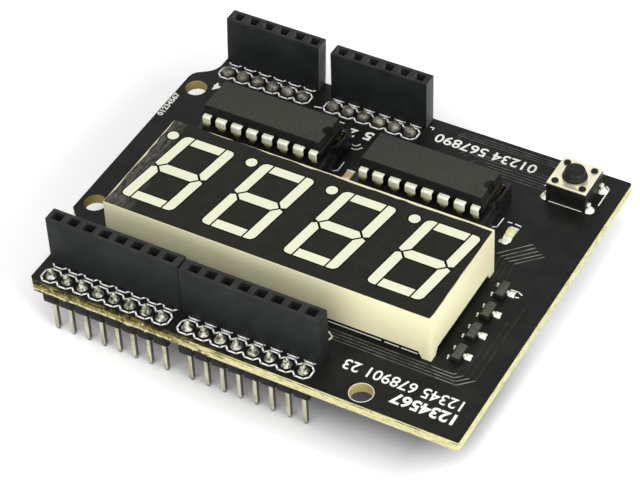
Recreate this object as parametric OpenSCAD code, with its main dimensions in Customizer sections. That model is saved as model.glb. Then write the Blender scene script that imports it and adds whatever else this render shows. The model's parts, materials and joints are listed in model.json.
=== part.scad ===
// Stackable board with a four-digit seven segment display, two socketed driver
// chips, a push button and pin rows that plug into a second board below it.
// X runs right along the near long edge, Y runs away from it and Z runs up.
// The origin is under the middle of the part, at the tips of the pins.

/* [Board] */
// Width of the board, left to right
board_w = 68.4; // [68:0.1:74]
// Depth of the board, near edge to far edge
board_d = 54.8; // [48:0.1:60]
// Thickness of the board
board_t = 1.6; // [1.2:0.1:2]
// How far the middle of the left edge stands out beyond its near end
near_step = 2.4; // [1.6:0.1:2.6]
// How far the middle of the left edge stands out beyond its far end
far_step = 3.1; // [2:0.1:3.2]
// Diameter of the three mounting holes
mount_d = 3.3; // [3:0.1:3.6]
// Distance of the left mounting holes from the left edge
mount_left_in = 2.36; // [2.2:0.02:3]
// Distance of the far left mounting hole from the far edge
mount_far_in = 9.48; // [8.5:0.02:11]
// Distance of the middle left mounting hole from the near edge
mount_mid_in = 17.38; // [15:0.02:20]
// Distance of the right mounting hole from the right edge
mount_right_in = 15.24; // [8:0.1:17]
// Distance of the right mounting hole from the near edge
mount_near_in = 2.16; // [2.1:0.02:4]

/* [Pin rows] */
// Pitch of the pins
pitch = 2.54; // [2.5:0.01:2.58]
// Width of the square pins
pin_w = 0.64; // [0.5:0.01:0.66]
// Clearance round a pin's corners in its drilled hole
drill_gap = 0.05; // [0.03:0.01:0.1]
// Number of pins in each near group
near_count = 8; // [6:1:8]
// Number of pins in each far group
far_count = 6; // [4:1:6]
// Distance of the last near pin from the right edge
near_right_in = 23.88; // [21:0.1:24.5]
// Step between the two near groups, from last pin to first pin
near_gap = 4.06; // [3.4:0.02:4.4]
// Distance of the last far pin from the right edge
far_right_in = 33.02; // [22:0.1:33.4]
// Step between the two far groups, from last pin to first pin
far_gap = 5.08; // [3.4:0.02:5.4]
// Distance of the near pin row from the near edge
near_row_in = 2.14; // [1.6:0.02:2.4]
// Distance of the far right socket row from the far edge
far_socket_in = 1.44; // [1.2:0.02:2]
// Length of the pins below their strip
pin_below = 6.1; // [4:0.1:8]
// Length of the near pins above the board
pin_above = 1; // [0.8:0.1:1.4]
// Height of the strips that hold the pins
strip_h = 2.54; // [2:0.02:3]
// Width of the strips across the row
strip_d = 2.5; // [2.2:0.1:2.8]

/* [Socket rows] */
// Distance from each pin row to the socket row behind it
socket_row_gap = 2.96; // [2.6:0.02:3.6]
// Extra set-back of the two left sockets
left_setback = 0.36; // [0:0.02:0.6]
// Height of the sockets above the board
header_h = 8.5; // [7.6:0.1:9]
// Width of the sockets across the row
header_d = 2.3; // [2.2:0.1:2.6]
// How far the sockets reach past half a pitch at each end
header_over = 0.2; // [0:0.05:0.3]
// Length of the pin tails below the board
tail_l = 1.3; // [1:0.1:1.6]

/* [Display] */
// Depth of the display
disp_d = 18.9; // [17:0.1:20]
// Height of the display from its feet to its face
disp_h = 8.1; // [7.6:0.1:9]
// Height of the corner feet under the display
foot_h = 1.1; // [0.6:0.1:1.4]
// Width of the corner feet
foot_w = 1.9; // [1.4:0.1:2.4]
// Wall of the display shell
shell_wall = 1; // [0.8:0.1:1.2]
// Thickness of the black face film
film_t = 0.2; // [0.1:0.05:0.3]
// Depth of the light wells under the face
well_depth = 4.2; // [3.4:0.1:4.6]
// Distance of the display's right side from the right edge
disp_right_clear = 9.64; // [8:0.02:11]
// Spacing of the digits
digit_pitch = 12.7; // [12.2:0.1:12.8]
// How much shorter the display is than its four digit spaces
disp_trim = 0.5; // [0:0.1:1]
// Shift of the digits to the right of the display centre
digit_shift = 0.34; // [0:0.02:0.5]
// Height of a digit
digit_h = 14.2; // [13.6:0.1:14.8]
// Width of a digit
digit_w = 8.2; // [7.6:0.1:8.3]
// Width of a segment
segment_w = 1.5; // [1.2:0.05:1.6]
// Gap between two segments
segment_gap = 0.25; // [0.15:0.01:0.35]
// Slant of the digits in degrees
digit_slant = 8; // [0:0.5:9]
// Diameter of a decimal point
point_d = 1.65; // [1.3:0.05:1.7]
// Distance of each pin row of the display from its long side
disp_row_in = 1.83; // [1.7:0.01:2.4]

/* [Chips] */
// Number of leads of each chip
chip_leads = 16; // [14:2:16]
// Distance of the right chip socket's end from the right edge
chip_right_clear = 13.81; // [12:0.01:16]
// Clear space between the two chip sockets
chip_clear = 5.08; // [4.4:0.02:6]
// Distance between the two lead rows of a chip
lead_span = 7.62; // [7.5:0.02:7.74]
// How far a chip body runs past its last lead
chip_end_over = 0.66; // [0.5:0.02:0.8]
// Distance from a lead row in to the side of the chip body
chip_side_in = 0.635; // [0.55:0.005:0.7]
// Thickness of a chip body
chip_t = 3.2; // [2.8:0.1:3.6]
// Clearance under a chip body
chip_lift = 0.35; // [0.2:0.05:0.6]
// Height of a chip socket
dip_socket_h = 3; // [2.8:0.1:3.6]
// How far a chip socket reaches outside its lead rows
socket_side = 1.19; // [1.1:0.01:1.4]

/* [Push button] */
// Width of the button housing
switch_w = 6; // [5.8:0.1:6.2]
// Height of the housing under its cover
switch_base_h = 3.15; // [2.9:0.05:3.4]
// Thickness of the metal cover
switch_cover_t = 0.2; // [0.15:0.01:0.25]
// How far the plunger stands out of the cover
plunger_out = 1.2; // [0.9:0.05:2.5]
// Diameter of the plunger
plunger_d = 3.4; // [3:0.1:3.6]
// Travel of the plunger
plunger_travel = 0.25; // [0.15:0.05:0.3]
// Distance of the button centre from the right edge
switch_right_in = 6.5; // [5.6:0.1:8]
// Distance of the button centre from the far edge
switch_far_in = 5.5; // [4.6:0.1:6]
// How far the legs stand outside the housing
leg_out = 0.3; // [0.25:0.05:0.5]
// Distance of the legs from the corners of the housing
leg_in = 0.75; // [0.6:0.05:1]

/* [Small parts] */
// Number of transistors beside the display
transistor_count = 4; // [2:1:4]
// Spacing of the transistors
transistor_pitch = 4.38; // [4.2:0.02:4.5]
// Distance from the display's right side to the transistors
transistor_clear = 2.88; // [2.4:0.02:3.4]
// Shift of the transistor row from the display's middle towards the near edge
transistor_shift = 0.31; // [0:0.01:0.6]
// Length of a transistor body
transistor_l = 2.9; // [2.7:0.1:3]
// Width of a transistor body
transistor_w = 1.3; // [1.2:0.05:1.4]
// Height of a transistor
transistor_h = 1.1; // [0.9:0.05:1.2]
// Length of the capacitor and of the indicator lamp
chip_part_l = 2; // [1.8:0.1:2.2]
// Width of the capacitor and of the indicator lamp
chip_part_w = 1.25; // [1.1:0.05:1.4]
// Height of the capacitor
capacitor_h = 0.9; // [0.6:0.05:1.2]
// Height of the indicator lamp
lamp_h = 0.8; // [0.7:0.05:1]
// Shift of the capacitor from the middle of the space between the chip sockets
capacitor_shift = 0.37; // [0:0.01:0.6]
// Distance from the right chip socket's end to the indicator lamp
lamp_clear = 3; // [2:0.1:4]
// Shift of both small parts from the chips' middle towards the near edge
small_shift = 1.5; // [1:0.1:2.5]

/* [Solder] */
// Radius of a solder joint on the top of the board
joint_r = 0.92; // [0.7:0.02:0.95]
// Radius of a solder joint under the board
under_joint_r = 0.68; // [0.6:0.02:0.7]
// Clearance between a piece and the seat that holds it
seat_gap = 0.02; // [0.01:0.01:0.04]

/* [Hidden] */
$fn = 28;

// Heights of the board faces above the pin tips
z_under = pin_below + strip_h;
z_top = z_under + board_t;

// Holes that the square pins pass through corner to corner
drill_d = pin_w * sqrt(2) + 2 * drill_gap;

// The left far socket stands a little over the far edge
far_row_in = far_socket_in + socket_row_gap;
far_left_in = far_socket_in - left_setback;
overhang = max(0, header_d / 2 - far_left_in);
function x_in(d) = board_w / 2 - d;
function y_in(d) = (board_d - overhang) / 2 - d;
near_y = y_in(board_d - near_row_in);
far_y = y_in(far_row_in);

// Places of the four groups: x of the middle, number of pins
near_right_x = x_in(near_right_in + (near_count - 1) * pitch / 2);
near_left_x = near_right_x - (near_count - 1) * pitch - near_gap;
far_right_x = x_in(far_right_in + (far_count - 1) * pitch / 2);
far_left_x = far_right_x - (far_count - 1) * pitch - far_gap;
near_right_socket_y = near_y + socket_row_gap;
near_left_socket_y = near_right_socket_y + left_setback;
far_right_socket_y = far_y + socket_row_gap;
far_left_socket_y = far_right_socket_y + left_setback;

// Sizes of the display and of the chips with their sockets
digit_count = 4;
disp_w = digit_count * digit_pitch - disp_trim;
disp_row_span = disp_d - 2 * disp_row_in;
side_leads = chip_leads / 2;
chip_w = (side_leads - 1) * pitch + 2 * chip_end_over;
chip_d = lead_span - 2 * chip_side_in;
dip_socket_w = side_leads * pitch;
dip_socket_d = lead_span + 2 * socket_side;

// The chips and the display share out the free depth between the far joints and the near sockets
far_clear_y = far_y - joint_r;
near_clear_y = near_left_socket_y + header_d / 2;
free_depth = far_clear_y - near_clear_y - dip_socket_d - disp_d;
chip_share = 0.375;
disp_share = 0.328;
chip_y = far_clear_y - chip_share * free_depth - dip_socket_d / 2;
disp_y = near_clear_y + disp_share * free_depth + disp_d / 2;

// Places of the larger parts
disp_x = x_in(disp_right_clear + disp_w / 2);
right_chip_x = x_in(chip_right_clear + dip_socket_w / 2);
left_chip_x = right_chip_x - dip_socket_w - chip_clear;
switch_x = x_in(switch_right_in);
switch_y = y_in(switch_far_in);
leg_span = switch_w + 2 * leg_out;
leg_pitch = switch_w - 2 * leg_in;
transistor_x = x_in(disp_right_clear - transistor_clear);
small_y = chip_y - small_shift;
capacitor_x = right_chip_x - (dip_socket_w + chip_clear) / 2 + capacitor_shift;
lamp_x = right_chip_x + dip_socket_w / 2 + lamp_clear;

// Thin pins of the display and tails of the chip sockets, with their holes
thin_pin_w = 0.5;
disp_pins_per_row = 6;
thin_drill_d = thin_pin_w * sqrt(2) + 3 * drill_gap;

// Runs its children at n places along X, centred, one pitch apart
module along_row(n, step = pitch) {
    for (i = [0 : n - 1])
        translate([(i - (n - 1) / 2) * step, 0, 0])
            children();
}

module square_bar(w, z0, z1) {
    translate([-w / 2, -w / 2, z0])
        cube([w, w, z1 - z0]);
}

// Left side of the board: a bay above the raised middle and a neck below it
corner_cut = 0.9;
right_cut = 0.15;
neck_h = 12.8;
bay_start = 3.16;
bay_r = 2.76;
bay_bend = 53;
shoulder_r = 1.9;
bay_end = 7.76;

// Board outline: straight right side, left side with a raised middle
module board_outline() {
    right = board_w / 2;
    left = -board_w / 2;
    far = y_in(0);
    near = y_in(board_d);
    polygon(concat(
        [
            [left + near_step + corner_cut, near],
            [right - right_cut, near],
            [right, near + right_cut],
            [right, far - 2 * right_cut],
            [right - 2 * right_cut, far],
            [left + far_step, far]
        ],
        [for (i = [0 : 4])
            let (a = bay_bend * i / 4)
            [left + far_step - bay_r * (1 - cos(a)), far - bay_start - bay_r * sin(a)]],
        [for (i = [4 : -1 : 0])
            let (a = bay_bend * i / 4)
            [left + shoulder_r * (1 - cos(a)), far - bay_end + shoulder_r * sin(a)]],
        [
            [left, near + neck_h + near_step],
            [left + near_step, near + neck_h],
            [left + near_step, near + corner_cut]
        ]
    ));
}

module mount_holes() {
    for (y = [y_in(mount_far_in), y_in(board_d - mount_mid_in)])
        translate([-board_w / 2 + mount_left_in, y, z_under - 1])
            cylinder(h = board_t + 2, d = mount_d, $fn = 48);
    translate([x_in(mount_right_in), y_in(board_d - mount_near_in), z_under - 1])
        cylinder(h = board_t + 2, d = mount_d, $fn = 48);
}

module drill(d) {
    translate([0, 0, z_under - 1])
        cylinder(h = board_t + 2, d = d);
}

// Each of these runs its children at every place of one kind of pin
module at_near_pins() {
    for (x = [near_left_x, near_right_x])
        translate([x, near_y, 0])
            along_row(near_count)
                children();
}

module at_far_pins() {
    for (x = [far_left_x, far_right_x])
        translate([x, far_y, 0])
            along_row(far_count)
                children();
}

module at_socket_tails() {
    translate([near_left_x, near_left_socket_y, 0])
        along_row(near_count)
            children();
    translate([near_right_x, near_right_socket_y, 0])
        along_row(near_count)
            children();
    translate([far_left_x, far_left_socket_y, 0])
        along_row(far_count)
            children();
    translate([far_right_x, far_right_socket_y, 0])
        along_row(far_count)
            children();
}

module at_display_pins() {
    for (side = [-1, 1])
        translate([disp_x, disp_y + side * disp_row_span / 2, 0])
            along_row(disp_pins_per_row)
                children();
}

module at_chip_leads(x) {
    for (side = [0, 1])
        translate([x, chip_y, 0])
            rotate([0, 0, side * 180])
                translate([0, -lead_span / 2, 0])
                    along_row(side_leads)
                        children();
}

module at_switch_legs() {
    for (sx = [-1, 1], sy = [-1, 1])
        translate([switch_x + sx * leg_span / 2, switch_y + sy * leg_pitch / 2, 0])
            children();
}

module circuit_board() {
    color([0.06, 0.06, 0.06])
        difference() {
            translate([0, 0, z_under])
                linear_extrude(board_t)
                    board_outline();
            mount_holes();
            at_near_pins() drill(drill_d);
            at_far_pins() drill(drill_d);
            at_socket_tails() drill(drill_d);
            at_display_pins() drill(thin_drill_d);
            at_chip_leads(left_chip_x) drill(thin_drill_d);
            at_chip_leads(right_chip_x) drill(thin_drill_d);
            at_switch_legs() drill(drill_d);
        }
}

// Plan of a break-away strip: one chamfered block for each pin
module strip_plan(n) {
    notch = 0.35;
    half = strip_d / 2;
    difference() {
        square([n * pitch, strip_d], center = true);
        for (i = [0 : n], side = [-1, 1])
            translate([(i - n / 2) * pitch, side * half])
                rotate(45)
                    square(notch * sqrt(2), center = true);
        along_row(n)
            square(pin_w, center = true);
    }
}

module pin_strip(x, y, n) {
    color([0.07, 0.07, 0.07])
        translate([x, y, pin_below])
            linear_extrude(strip_h)
                strip_plan(n);
}

// One square pin with a pointed lower end
module row_pin(top) {
    point = 0.7;
    square_bar(pin_w, point, top);
    translate([0, 0, point])
        mirror([0, 0, 1])
            linear_extrude(height = point, scale = 0.45)
                square(pin_w, center = true);
}

module pin_group(x, y, n, above) {
    color([0.78, 0.75, 0.68])
        translate([x, y, 0])
            along_row(n)
                row_pin(z_top + above);
}

// Sockets of the stacking rows
funnel_w = 1.7;
funnel_d = 1.5;
funnel_h = 0.7;
shaft_w = pin_w + 0.16;
shaft_d = 1.3;
header_floor = 1;
funnel_taper = [shaft_w / funnel_w, shaft_d / funnel_d];

module socket_housing(x, y, n) {
    rim = 0.2;
    length = n * pitch + 2 * header_over;
    color([0.1, 0.1, 0.11])
        translate([x, y, z_top])
            difference() {
                rotate([90, 0, 90])
                    translate([0, 0, -length / 2])
                        linear_extrude(length)
                            polygon([
                                [-header_d / 2, 0],
                                [header_d / 2, 0],
                                [header_d / 2, header_h - rim],
                                [header_d / 2 - rim, header_h],
                                [rim - header_d / 2, header_h],
                                [-header_d / 2, header_h - rim]
                            ]);
                along_row(n) {
                    translate([0, 0, header_h])
                        mirror([0, 0, 1])
                            linear_extrude(height = funnel_h, slices = 1, scale = funnel_taper)
                                square([funnel_w, funnel_d], center = true);
                    translate([-shaft_w / 2, -shaft_d / 2, header_floor])
                        cube([shaft_w, shaft_d, header_h - header_floor - funnel_h / 2]);
                    square_bar(pin_w, -1, header_floor + 1);
                }
            }
}

// Side view of a spring contact: two leaves that lean together at the mouth
module fork_profile(base_z, top_z, reach, leaf, mouth) {
    bend = base_z + 0.62 * (top_z - base_z);
    pinch = base_z + 0.85 * (top_z - base_z);
    root = base_z + 2.5 * leaf;
    polygon([
        [-reach, base_z],
        [reach, base_z],
        [reach, bend],
        [mouth / 2 + leaf, pinch],
        [reach, top_z],
        [reach - leaf, top_z],
        [mouth / 2, pinch],
        [reach - leaf, bend],
        [reach - leaf, root],
        [leaf - reach, root],
        [leaf - reach, bend],
        [-mouth / 2, pinch],
        [leaf - reach, top_z],
        [-reach, top_z],
        [-mouth / 2 - leaf, pinch],
        [-reach, bend]
    ]);
}

module spring_contact(w, base_z, top_z, reach, leaf, mouth, tail_w) {
    rotate([90, 0, 90])
        translate([0, 0, -w / 2])
            linear_extrude(w)
                fork_profile(base_z, top_z, reach, leaf, mouth);
    square_bar(tail_w, -board_t - tail_l, base_z);
}

module socket_contacts(x, y, n) {
    color([0.8, 0.72, 0.45])
        translate([x, y, z_top])
            along_row(n)
                spring_contact(
                    shaft_w - 4 * seat_gap,
                    header_floor,
                    header_h - funnel_h - 0.3,
                    shaft_d / 2 - 2 * seat_gap,
                    0.2,
                    pin_w * 0.8,
                    pin_w - 2 * seat_gap
                );
}

// Seven segment shapes, in a digit's own axes: u right, v away
half_w = digit_w / 2;
half_h = digit_h / 2;
seg = segment_w;
gap = segment_gap;
function slanted(p) = [p[0] + p[1] * tan(digit_slant), p[1]];
function upright_points(sx, sy) =
    let (corner = 0.6 * seg)
    [for (p = [
        [half_w - seg, gap / 2 + 0.62 * seg],
        [half_w - 0.42 * seg, gap / 2],
        [half_w, gap / 2 + 0.2 * seg],
        [half_w, half_h - corner],
        [half_w - 0.3 * corner, half_h - 0.3 * corner],
        [half_w - corner, half_h],
        [half_w - seg, half_h]
    ]) [p[0] * sx, p[1] * sy]];
function level_points(sy) =
    let (reach = half_w - seg - gap)
    [for (p = [
        [-reach, half_h - seg],
        [reach, half_h - seg],
        [reach, half_h],
        [-reach, half_h]
    ]) [p[0], p[1] * sy]];
function middle_points() =
    let (tip = half_w - 0.42 * seg - 1.2 * gap, flat = half_w - seg - 0.9 * gap, rise = 0.54 * seg)
    [[-tip, 0], [-flat, -rise], [flat, -rise], [tip, 0], [flat, rise], [-flat, rise]];

// Points and centre of each segment
segment_shapes = [
    [upright_points(-1, 1), [-half_w + seg / 2, half_h / 2]],
    [upright_points(1, 1), [half_w - seg / 2, half_h / 2]],
    [upright_points(-1, -1), [-half_w + seg / 2, -half_h / 2]],
    [upright_points(1, -1), [half_w - seg / 2, -half_h / 2]],
    [level_points(1), [0, half_h - seg / 2]],
    [level_points(-1), [0, seg / 2 - half_h]],
    [middle_points(), [0, 0]]
];
point_place = [-half_w - 0.65, half_h - 0.7];

// A segment's outline around its own centre
module segment_plan(shape) {
    centre = slanted(shape[1]);
    polygon([for (p = shape[0]) slanted(p) - centre]);
}

module at_digits() {
    translate([disp_x + digit_shift, disp_y, 0])
        along_row(digit_count, digit_pitch)
            children();
}

// Light wells or the clear resin in them: full outline above, narrow below
module light_columns(z0, z1, fit) {
    at_digits() {
        for (shape = segment_shapes)
            translate([slanted(shape[1])[0], slanted(shape[1])[1], z1])
                mirror([0, 0, 1])
                    linear_extrude(height = z1 - z0, scale = 0.6)
                        scale([fit, fit])
                            segment_plan(shape);
        translate([point_place[0], point_place[1], z0])
            cylinder(h = z1 - z0, d1 = point_d * 0.6 * fit, d2 = point_d * fit);
    }
}

// Heights inside the display
shell_top = z_top + disp_h - film_t;
well_floor = shell_top - well_depth;
resin_t = 0.25;
led_board_t = 1;
led_board_top = well_floor - resin_t;
led_board_z = led_board_top - led_board_t;
inner_w = disp_w - 2 * shell_wall;
inner_d = disp_d - 2 * shell_wall;
die = 0.3;

module display_box(w, d, z0, z1) {
    translate([disp_x - w / 2, disp_y - d / 2, z0])
        cube([w, d, z1 - z0]);
}

module display_shell() {
    color([0.92, 0.9, 0.78]) {
        difference() {
            display_box(disp_w, disp_d, z_top + foot_h, shell_top);
            display_box(inner_w, inner_d, z_top, well_floor);
            light_columns(well_floor - 0.5, shell_top + 0.01, 1);
        }
        for (sx = [-1, 1], sy = [-1, 1])
            translate([disp_x + sx * disp_w / 2, disp_y + sy * disp_d / 2, z_top + foot_h])
                rotate([180, 0, 0])
                    linear_extrude(height = foot_h, scale = 0.72)
                        mirror([sx > 0 ? 1 : 0, 0])
                            mirror([0, sy < 0 ? 1 : 0])
                                square([foot_w, foot_w]);
    }
}

module display_face_film() {
    inset = 0.15;
    color([0.14, 0.14, 0.13])
        difference() {
            display_box(disp_w - 2 * inset, disp_d - 2 * inset, shell_top, shell_top + film_t);
            at_digits() {
                for (shape = segment_shapes)
                    translate([slanted(shape[1])[0], slanted(shape[1])[1], shell_top - 1])
                        linear_extrude(2)
                            segment_plan(shape);
                translate([point_place[0], point_place[1], shell_top - 1])
                    cylinder(h = 2, d = point_d);
            }
        }
}

module at_dies() {
    at_digits() {
        for (shape = segment_shapes)
            translate([slanted(shape[1])[0], slanted(shape[1])[1], 0])
                children();
        translate([point_place[0], point_place[1], 0])
            children();
    }
}

module display_light_guides() {
    color([0.95, 0.95, 0.82])
        difference() {
            union() {
                light_columns(well_floor - 0.1, shell_top, 0.985);
                display_box(inner_w - 4 * seat_gap, inner_d - 4 * seat_gap, led_board_top, well_floor);
            }
            at_dies() square_bar(die, led_board_top - 1, led_board_top + die / 2);
        }
}

module display_led_dies() {
    color([0.55, 0.2, 0.15])
        at_dies()
            square_bar(die, led_board_top, led_board_top + die / 2);
}

module display_led_board() {
    color([0.75, 0.72, 0.5])
        difference() {
            display_box(inner_w - 4 * seat_gap, inner_d - 4 * seat_gap, led_board_z, led_board_top);
            at_display_pins() square_bar(thin_pin_w, led_board_z - 1, led_board_top + 1);
        }
}

module display_pins() {
    color([0.78, 0.76, 0.72])
        at_display_pins()
            square_bar(thin_pin_w, z_under - tail_l, led_board_top);
}

// Chip sockets
rail_in = lead_span / 2 - 1.35;
bar_w = 1.5;
slot_w = 0.7;
slot_d = 1.7;
socket_floor = 0.5;

module chip_socket(x) {
    window = dip_socket_w / 2 - 1.5 * bar_w;
    color([0.07, 0.07, 0.07])
        translate([x, chip_y, z_top])
            difference() {
                translate([-dip_socket_w / 2, -dip_socket_d / 2, 0])
                    cube([dip_socket_w, dip_socket_d, dip_socket_h]);
                for (sx = [-1, 1])
                    translate([sx * (window + bar_w) / 2, 0, dip_socket_h / 2])
                        cube([window, 2 * rail_in, dip_socket_h + 2], center = true);
                translate([dip_socket_w / 2, 0, dip_socket_h / 2])
                    cylinder(h = dip_socket_h, r = bar_w / 2);
                for (side = [-1, 1])
                    translate([0, side * lead_span / 2, 0])
                        along_row(side_leads) {
                            translate([-slot_w / 2, -slot_d / 2, socket_floor])
                                cube([slot_w, slot_d, dip_socket_h]);
                            square_bar(thin_pin_w + 2 * seat_gap, -1, socket_floor + 1);
                        }
            }
}

module chip_socket_contacts(x) {
    color([0.82, 0.7, 0.35])
        translate([0, 0, z_top])
            at_chip_leads(x)
                spring_contact(
                    slot_w - 4 * seat_gap,
                    socket_floor,
                    dip_socket_h - 0.15,
                    slot_d / 2 - 2 * seat_gap,
                    0.16,
                    lead_t + 2 * seat_gap,
                    thin_pin_w
                );
}

// Chips
lead_t = 0.25;
lead_wide = 1.6;
lead_step = 0.82;
lead_narrow = 0.46;
lead_root = 0.5;
lead_depth = dip_socket_h - socket_floor - 0.6;
bend_r = 0.15;
chip_z = z_top + dip_socket_h + chip_lift;
chip_mid = chip_z + chip_t / 2;
draft = 0.28;

module half_body(w, d, h) {
    linear_extrude(height = h, slices = 1, scale = [(w - 2 * draft) / w, (d - 2 * draft) / d])
        square([w, d], center = true);
}

// One lead, its row at y = 0 and the chip towards +Y; trim narrows one side
module chip_lead(left_cut, right_cut) {
    reach = (lead_span - chip_d) / 2 + lead_root;
    x0 = -lead_wide / 2 + left_cut;
    x1 = lead_wide / 2 - right_cut;
    seat = z_top + dip_socket_h;
    top = chip_mid + lead_t / 2;
    knee = top - lead_t - bend_r;
    outer = bend_r + lead_t;
    translate([x0, outer - lead_t / 2, top - lead_t])
        cube([x1 - x0, reach - outer + lead_t / 2, lead_t]);
    translate([x0, outer - lead_t / 2, knee])
        rotate([90, 0, 90])
            rotate_extrude(angle = 90, start = 90, $fn = 24)
                translate([bend_r, 0])
                    square([lead_t, x1 - x0]);
    translate([0, lead_t / 2, 0])
        rotate([90, 0, 0])
            linear_extrude(lead_t)
                polygon([
                    [x0, knee],
                    [x0, seat + 0.84],
                    [max(x0, -lead_step / 2), seat + 0.7],
                    [max(x0, -lead_step / 2), seat],
                    [-lead_narrow / 2, seat],
                    [-lead_narrow / 2, seat - lead_depth + 0.3],
                    [-lead_narrow / 4, seat - lead_depth],
                    [lead_narrow / 4, seat - lead_depth],
                    [lead_narrow / 2, seat - lead_depth + 0.3],
                    [lead_narrow / 2, seat],
                    [min(x1, lead_step / 2), seat],
                    [min(x1, lead_step / 2), seat + 0.7],
                    [x1, seat + 0.84],
                    [x1, knee]
                ]);
}

module lead_places(x) {
    cut = (lead_wide - lead_step) / 2;
    for (side = [0, 1])
        translate([x, chip_y, 0])
            rotate([0, 0, side * 180])
                translate([0, -lead_span / 2, 0])
                    for (i = [0 : side_leads - 1])
                        translate([(i - (side_leads - 1) / 2) * pitch, 0, 0])
                            chip_lead(i == 0 ? cut : 0, i == side_leads - 1 ? cut : 0);
}

module chip_leads_set(x) {
    color([0.85, 0.84, 0.78])
        lead_places(x);
}

module chip_body(x) {
    color([0.2, 0.2, 0.19])
        difference() {
            translate([x, chip_y, chip_mid]) {
                difference() {
                    half_body(chip_w, chip_d, chip_t / 2);
                    translate([chip_w / 2 - 0.35, 0, -1])
                        cylinder(h = chip_t, r = 0.8);
                }
                mirror([0, 0, 1])
                    half_body(chip_w, chip_d, chip_t / 2);
            }
            lead_places(x);
        }
}

// Push button
cavity_r = switch_w / 2 - 0.8;
stem_gap = 0.1;
switch_floor = 1.2;
flange_t = 0.5;
peg_r = 0.5;
peg_place = switch_w / 2 - 0.92;
base_top = z_top + switch_base_h;
flange_top = base_top - seat_gap;
flange_z = flange_top - flange_t;
dome_h = flange_z - plunger_travel - 0.05 - z_top - switch_floor;

module switch_base() {
    color([0.06, 0.06, 0.06])
        translate([switch_x, switch_y, z_top]) {
            difference() {
                translate([-switch_w / 2, -switch_w / 2, 0])
                    cube([switch_w, switch_w, switch_base_h]);
                translate([0, 0, switch_floor])
                    cylinder(h = switch_base_h, r = cavity_r);
                for (sx = [-1, 1], sy = [-1, 1])
                    translate([sx * switch_w / 2, sy * leg_pitch / 2, leg_z])
                        cube([2 * leg_root, leg_w, leg_t], center = true);
            }
            for (sx = [-1, 1], sy = [-1, 1])
                translate([sx * peg_place, sy * peg_place, switch_base_h])
                    cylinder(h = switch_cover_t + 0.15, r = peg_r);
        }
}

module switch_cover() {
    color([0.88, 0.87, 0.8])
        translate([switch_x, switch_y, base_top])
            difference() {
                translate([-switch_w / 2, -switch_w / 2, 0])
                    cube([switch_w, switch_w, switch_cover_t]);
                translate([0, 0, -1])
                    cylinder(h = 2, d = plunger_d + 2 * stem_gap);
                for (sx = [-1, 1], sy = [-1, 1])
                    translate([sx * peg_place, sy * peg_place, -1])
                        cylinder(h = 2, r = peg_r + seat_gap);
            }
}

// Snap dome: a thin shallow cap on the cavity floor
module switch_dome() {
    dome_t = 0.1;
    dome_r = cavity_r - 0.1;
    color([0.8, 0.78, 0.7])
        translate([switch_x, switch_y, z_top + switch_floor])
            rotate_extrude()
                polygon([
                    [0, dome_h],
                    [dome_r * 0.35, dome_h * 0.93],
                    [dome_r * 0.7, dome_h * 0.62],
                    [dome_r, dome_t],
                    [dome_r, 0],
                    [dome_r * 0.9, 0],
                    [dome_r * 0.65, dome_h * 0.62 - dome_t],
                    [dome_r * 0.3, dome_h * 0.93 - dome_t],
                    [0, dome_h - dome_t]
                ]);
}

module switch_plunger() {
    edge = 0.25;
    top = base_top + switch_cover_t + plunger_out;
    step_z = top - 0.6 * plunger_out;
    r = plunger_d / 2;
    cap_r = 0.88 * r;
    color([0.1, 0.1, 0.1])
        translate([switch_x, switch_y, 0])
            rotate_extrude()
                polygon([
                    [0, flange_z],
                    [cavity_r - stem_gap, flange_z],
                    [cavity_r - stem_gap, flange_top],
                    [r, flange_top],
                    [r, step_z - 0.1],
                    [cap_r, step_z],
                    [cap_r, top - edge],
                    [cap_r - 0.3 * edge, top - 0.3 * edge],
                    [cap_r - edge, top],
                    [0, top]
                ]);
}

// Legs: out of the side of the base, down with a kink, through the board
leg_w = 0.7;
leg_t = 0.3;
leg_z = 1;
leg_root = 0.6;
leg_joint_r = 0.8;

module switch_leg() {
    out = leg_span / 2 - switch_w / 2;
    rotate([90, 0, 0])
        translate([0, 0, -leg_w / 2])
            linear_extrude(leg_w)
                polygon([
                    [-out - leg_root, leg_z - leg_t / 2],
                    [-leg_t / 2, leg_z - leg_t / 2],
                    [-leg_t / 2, 0],
                    [-leg_t / 2 - 0.05, -board_t / 2],
                    [-leg_t / 2, -board_t],
                    [-leg_t / 2, -board_t - tail_l],
                    [leg_t / 2, -board_t - tail_l],
                    [leg_t / 2, -board_t],
                    [leg_t / 2 - 0.05, -board_t / 2],
                    [leg_t / 2, 0],
                    [leg_t / 2, leg_z],
                    [0, leg_z + leg_t / 2],
                    [-out - leg_root, leg_z + leg_t / 2]
                ]);
}

module switch_legs() {
    color([0.85, 0.84, 0.8])
        for (sx = [-1, 1], sy = [-1, 1])
            translate([switch_x + sx * leg_span / 2, switch_y + sy * leg_pitch / 2, z_top])
                rotate([0, 0, sx > 0 ? 0 : 180])
                    switch_leg();
}

// Transistors beside the display
foot_lead_t = 0.13;
foot_lead_w = 0.42;
transistor_lead_reach = 0.62;
side_lead_y = transistor_l / 2 - 0.5;

module at_transistors() {
    translate([transistor_x, disp_y - transistor_shift, z_top])
        rotate(90)
            along_row(transistor_count, transistor_pitch)
                rotate(-90)
                    children();
}

module transistor_body() {
    low = 0.1;
    half = (transistor_h - low) / 2;
    taper = [(transistor_w - 0.2) / transistor_w, (transistor_l - 0.2) / transistor_l];
    translate([0, 0, low + half]) {
        linear_extrude(height = half, slices = 1, scale = taper)
            square([transistor_w, transistor_l], center = true);
        mirror([0, 0, 1])
            linear_extrude(height = half, slices = 1, scale = taper)
                square([transistor_w, transistor_l], center = true);
    }
}

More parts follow.
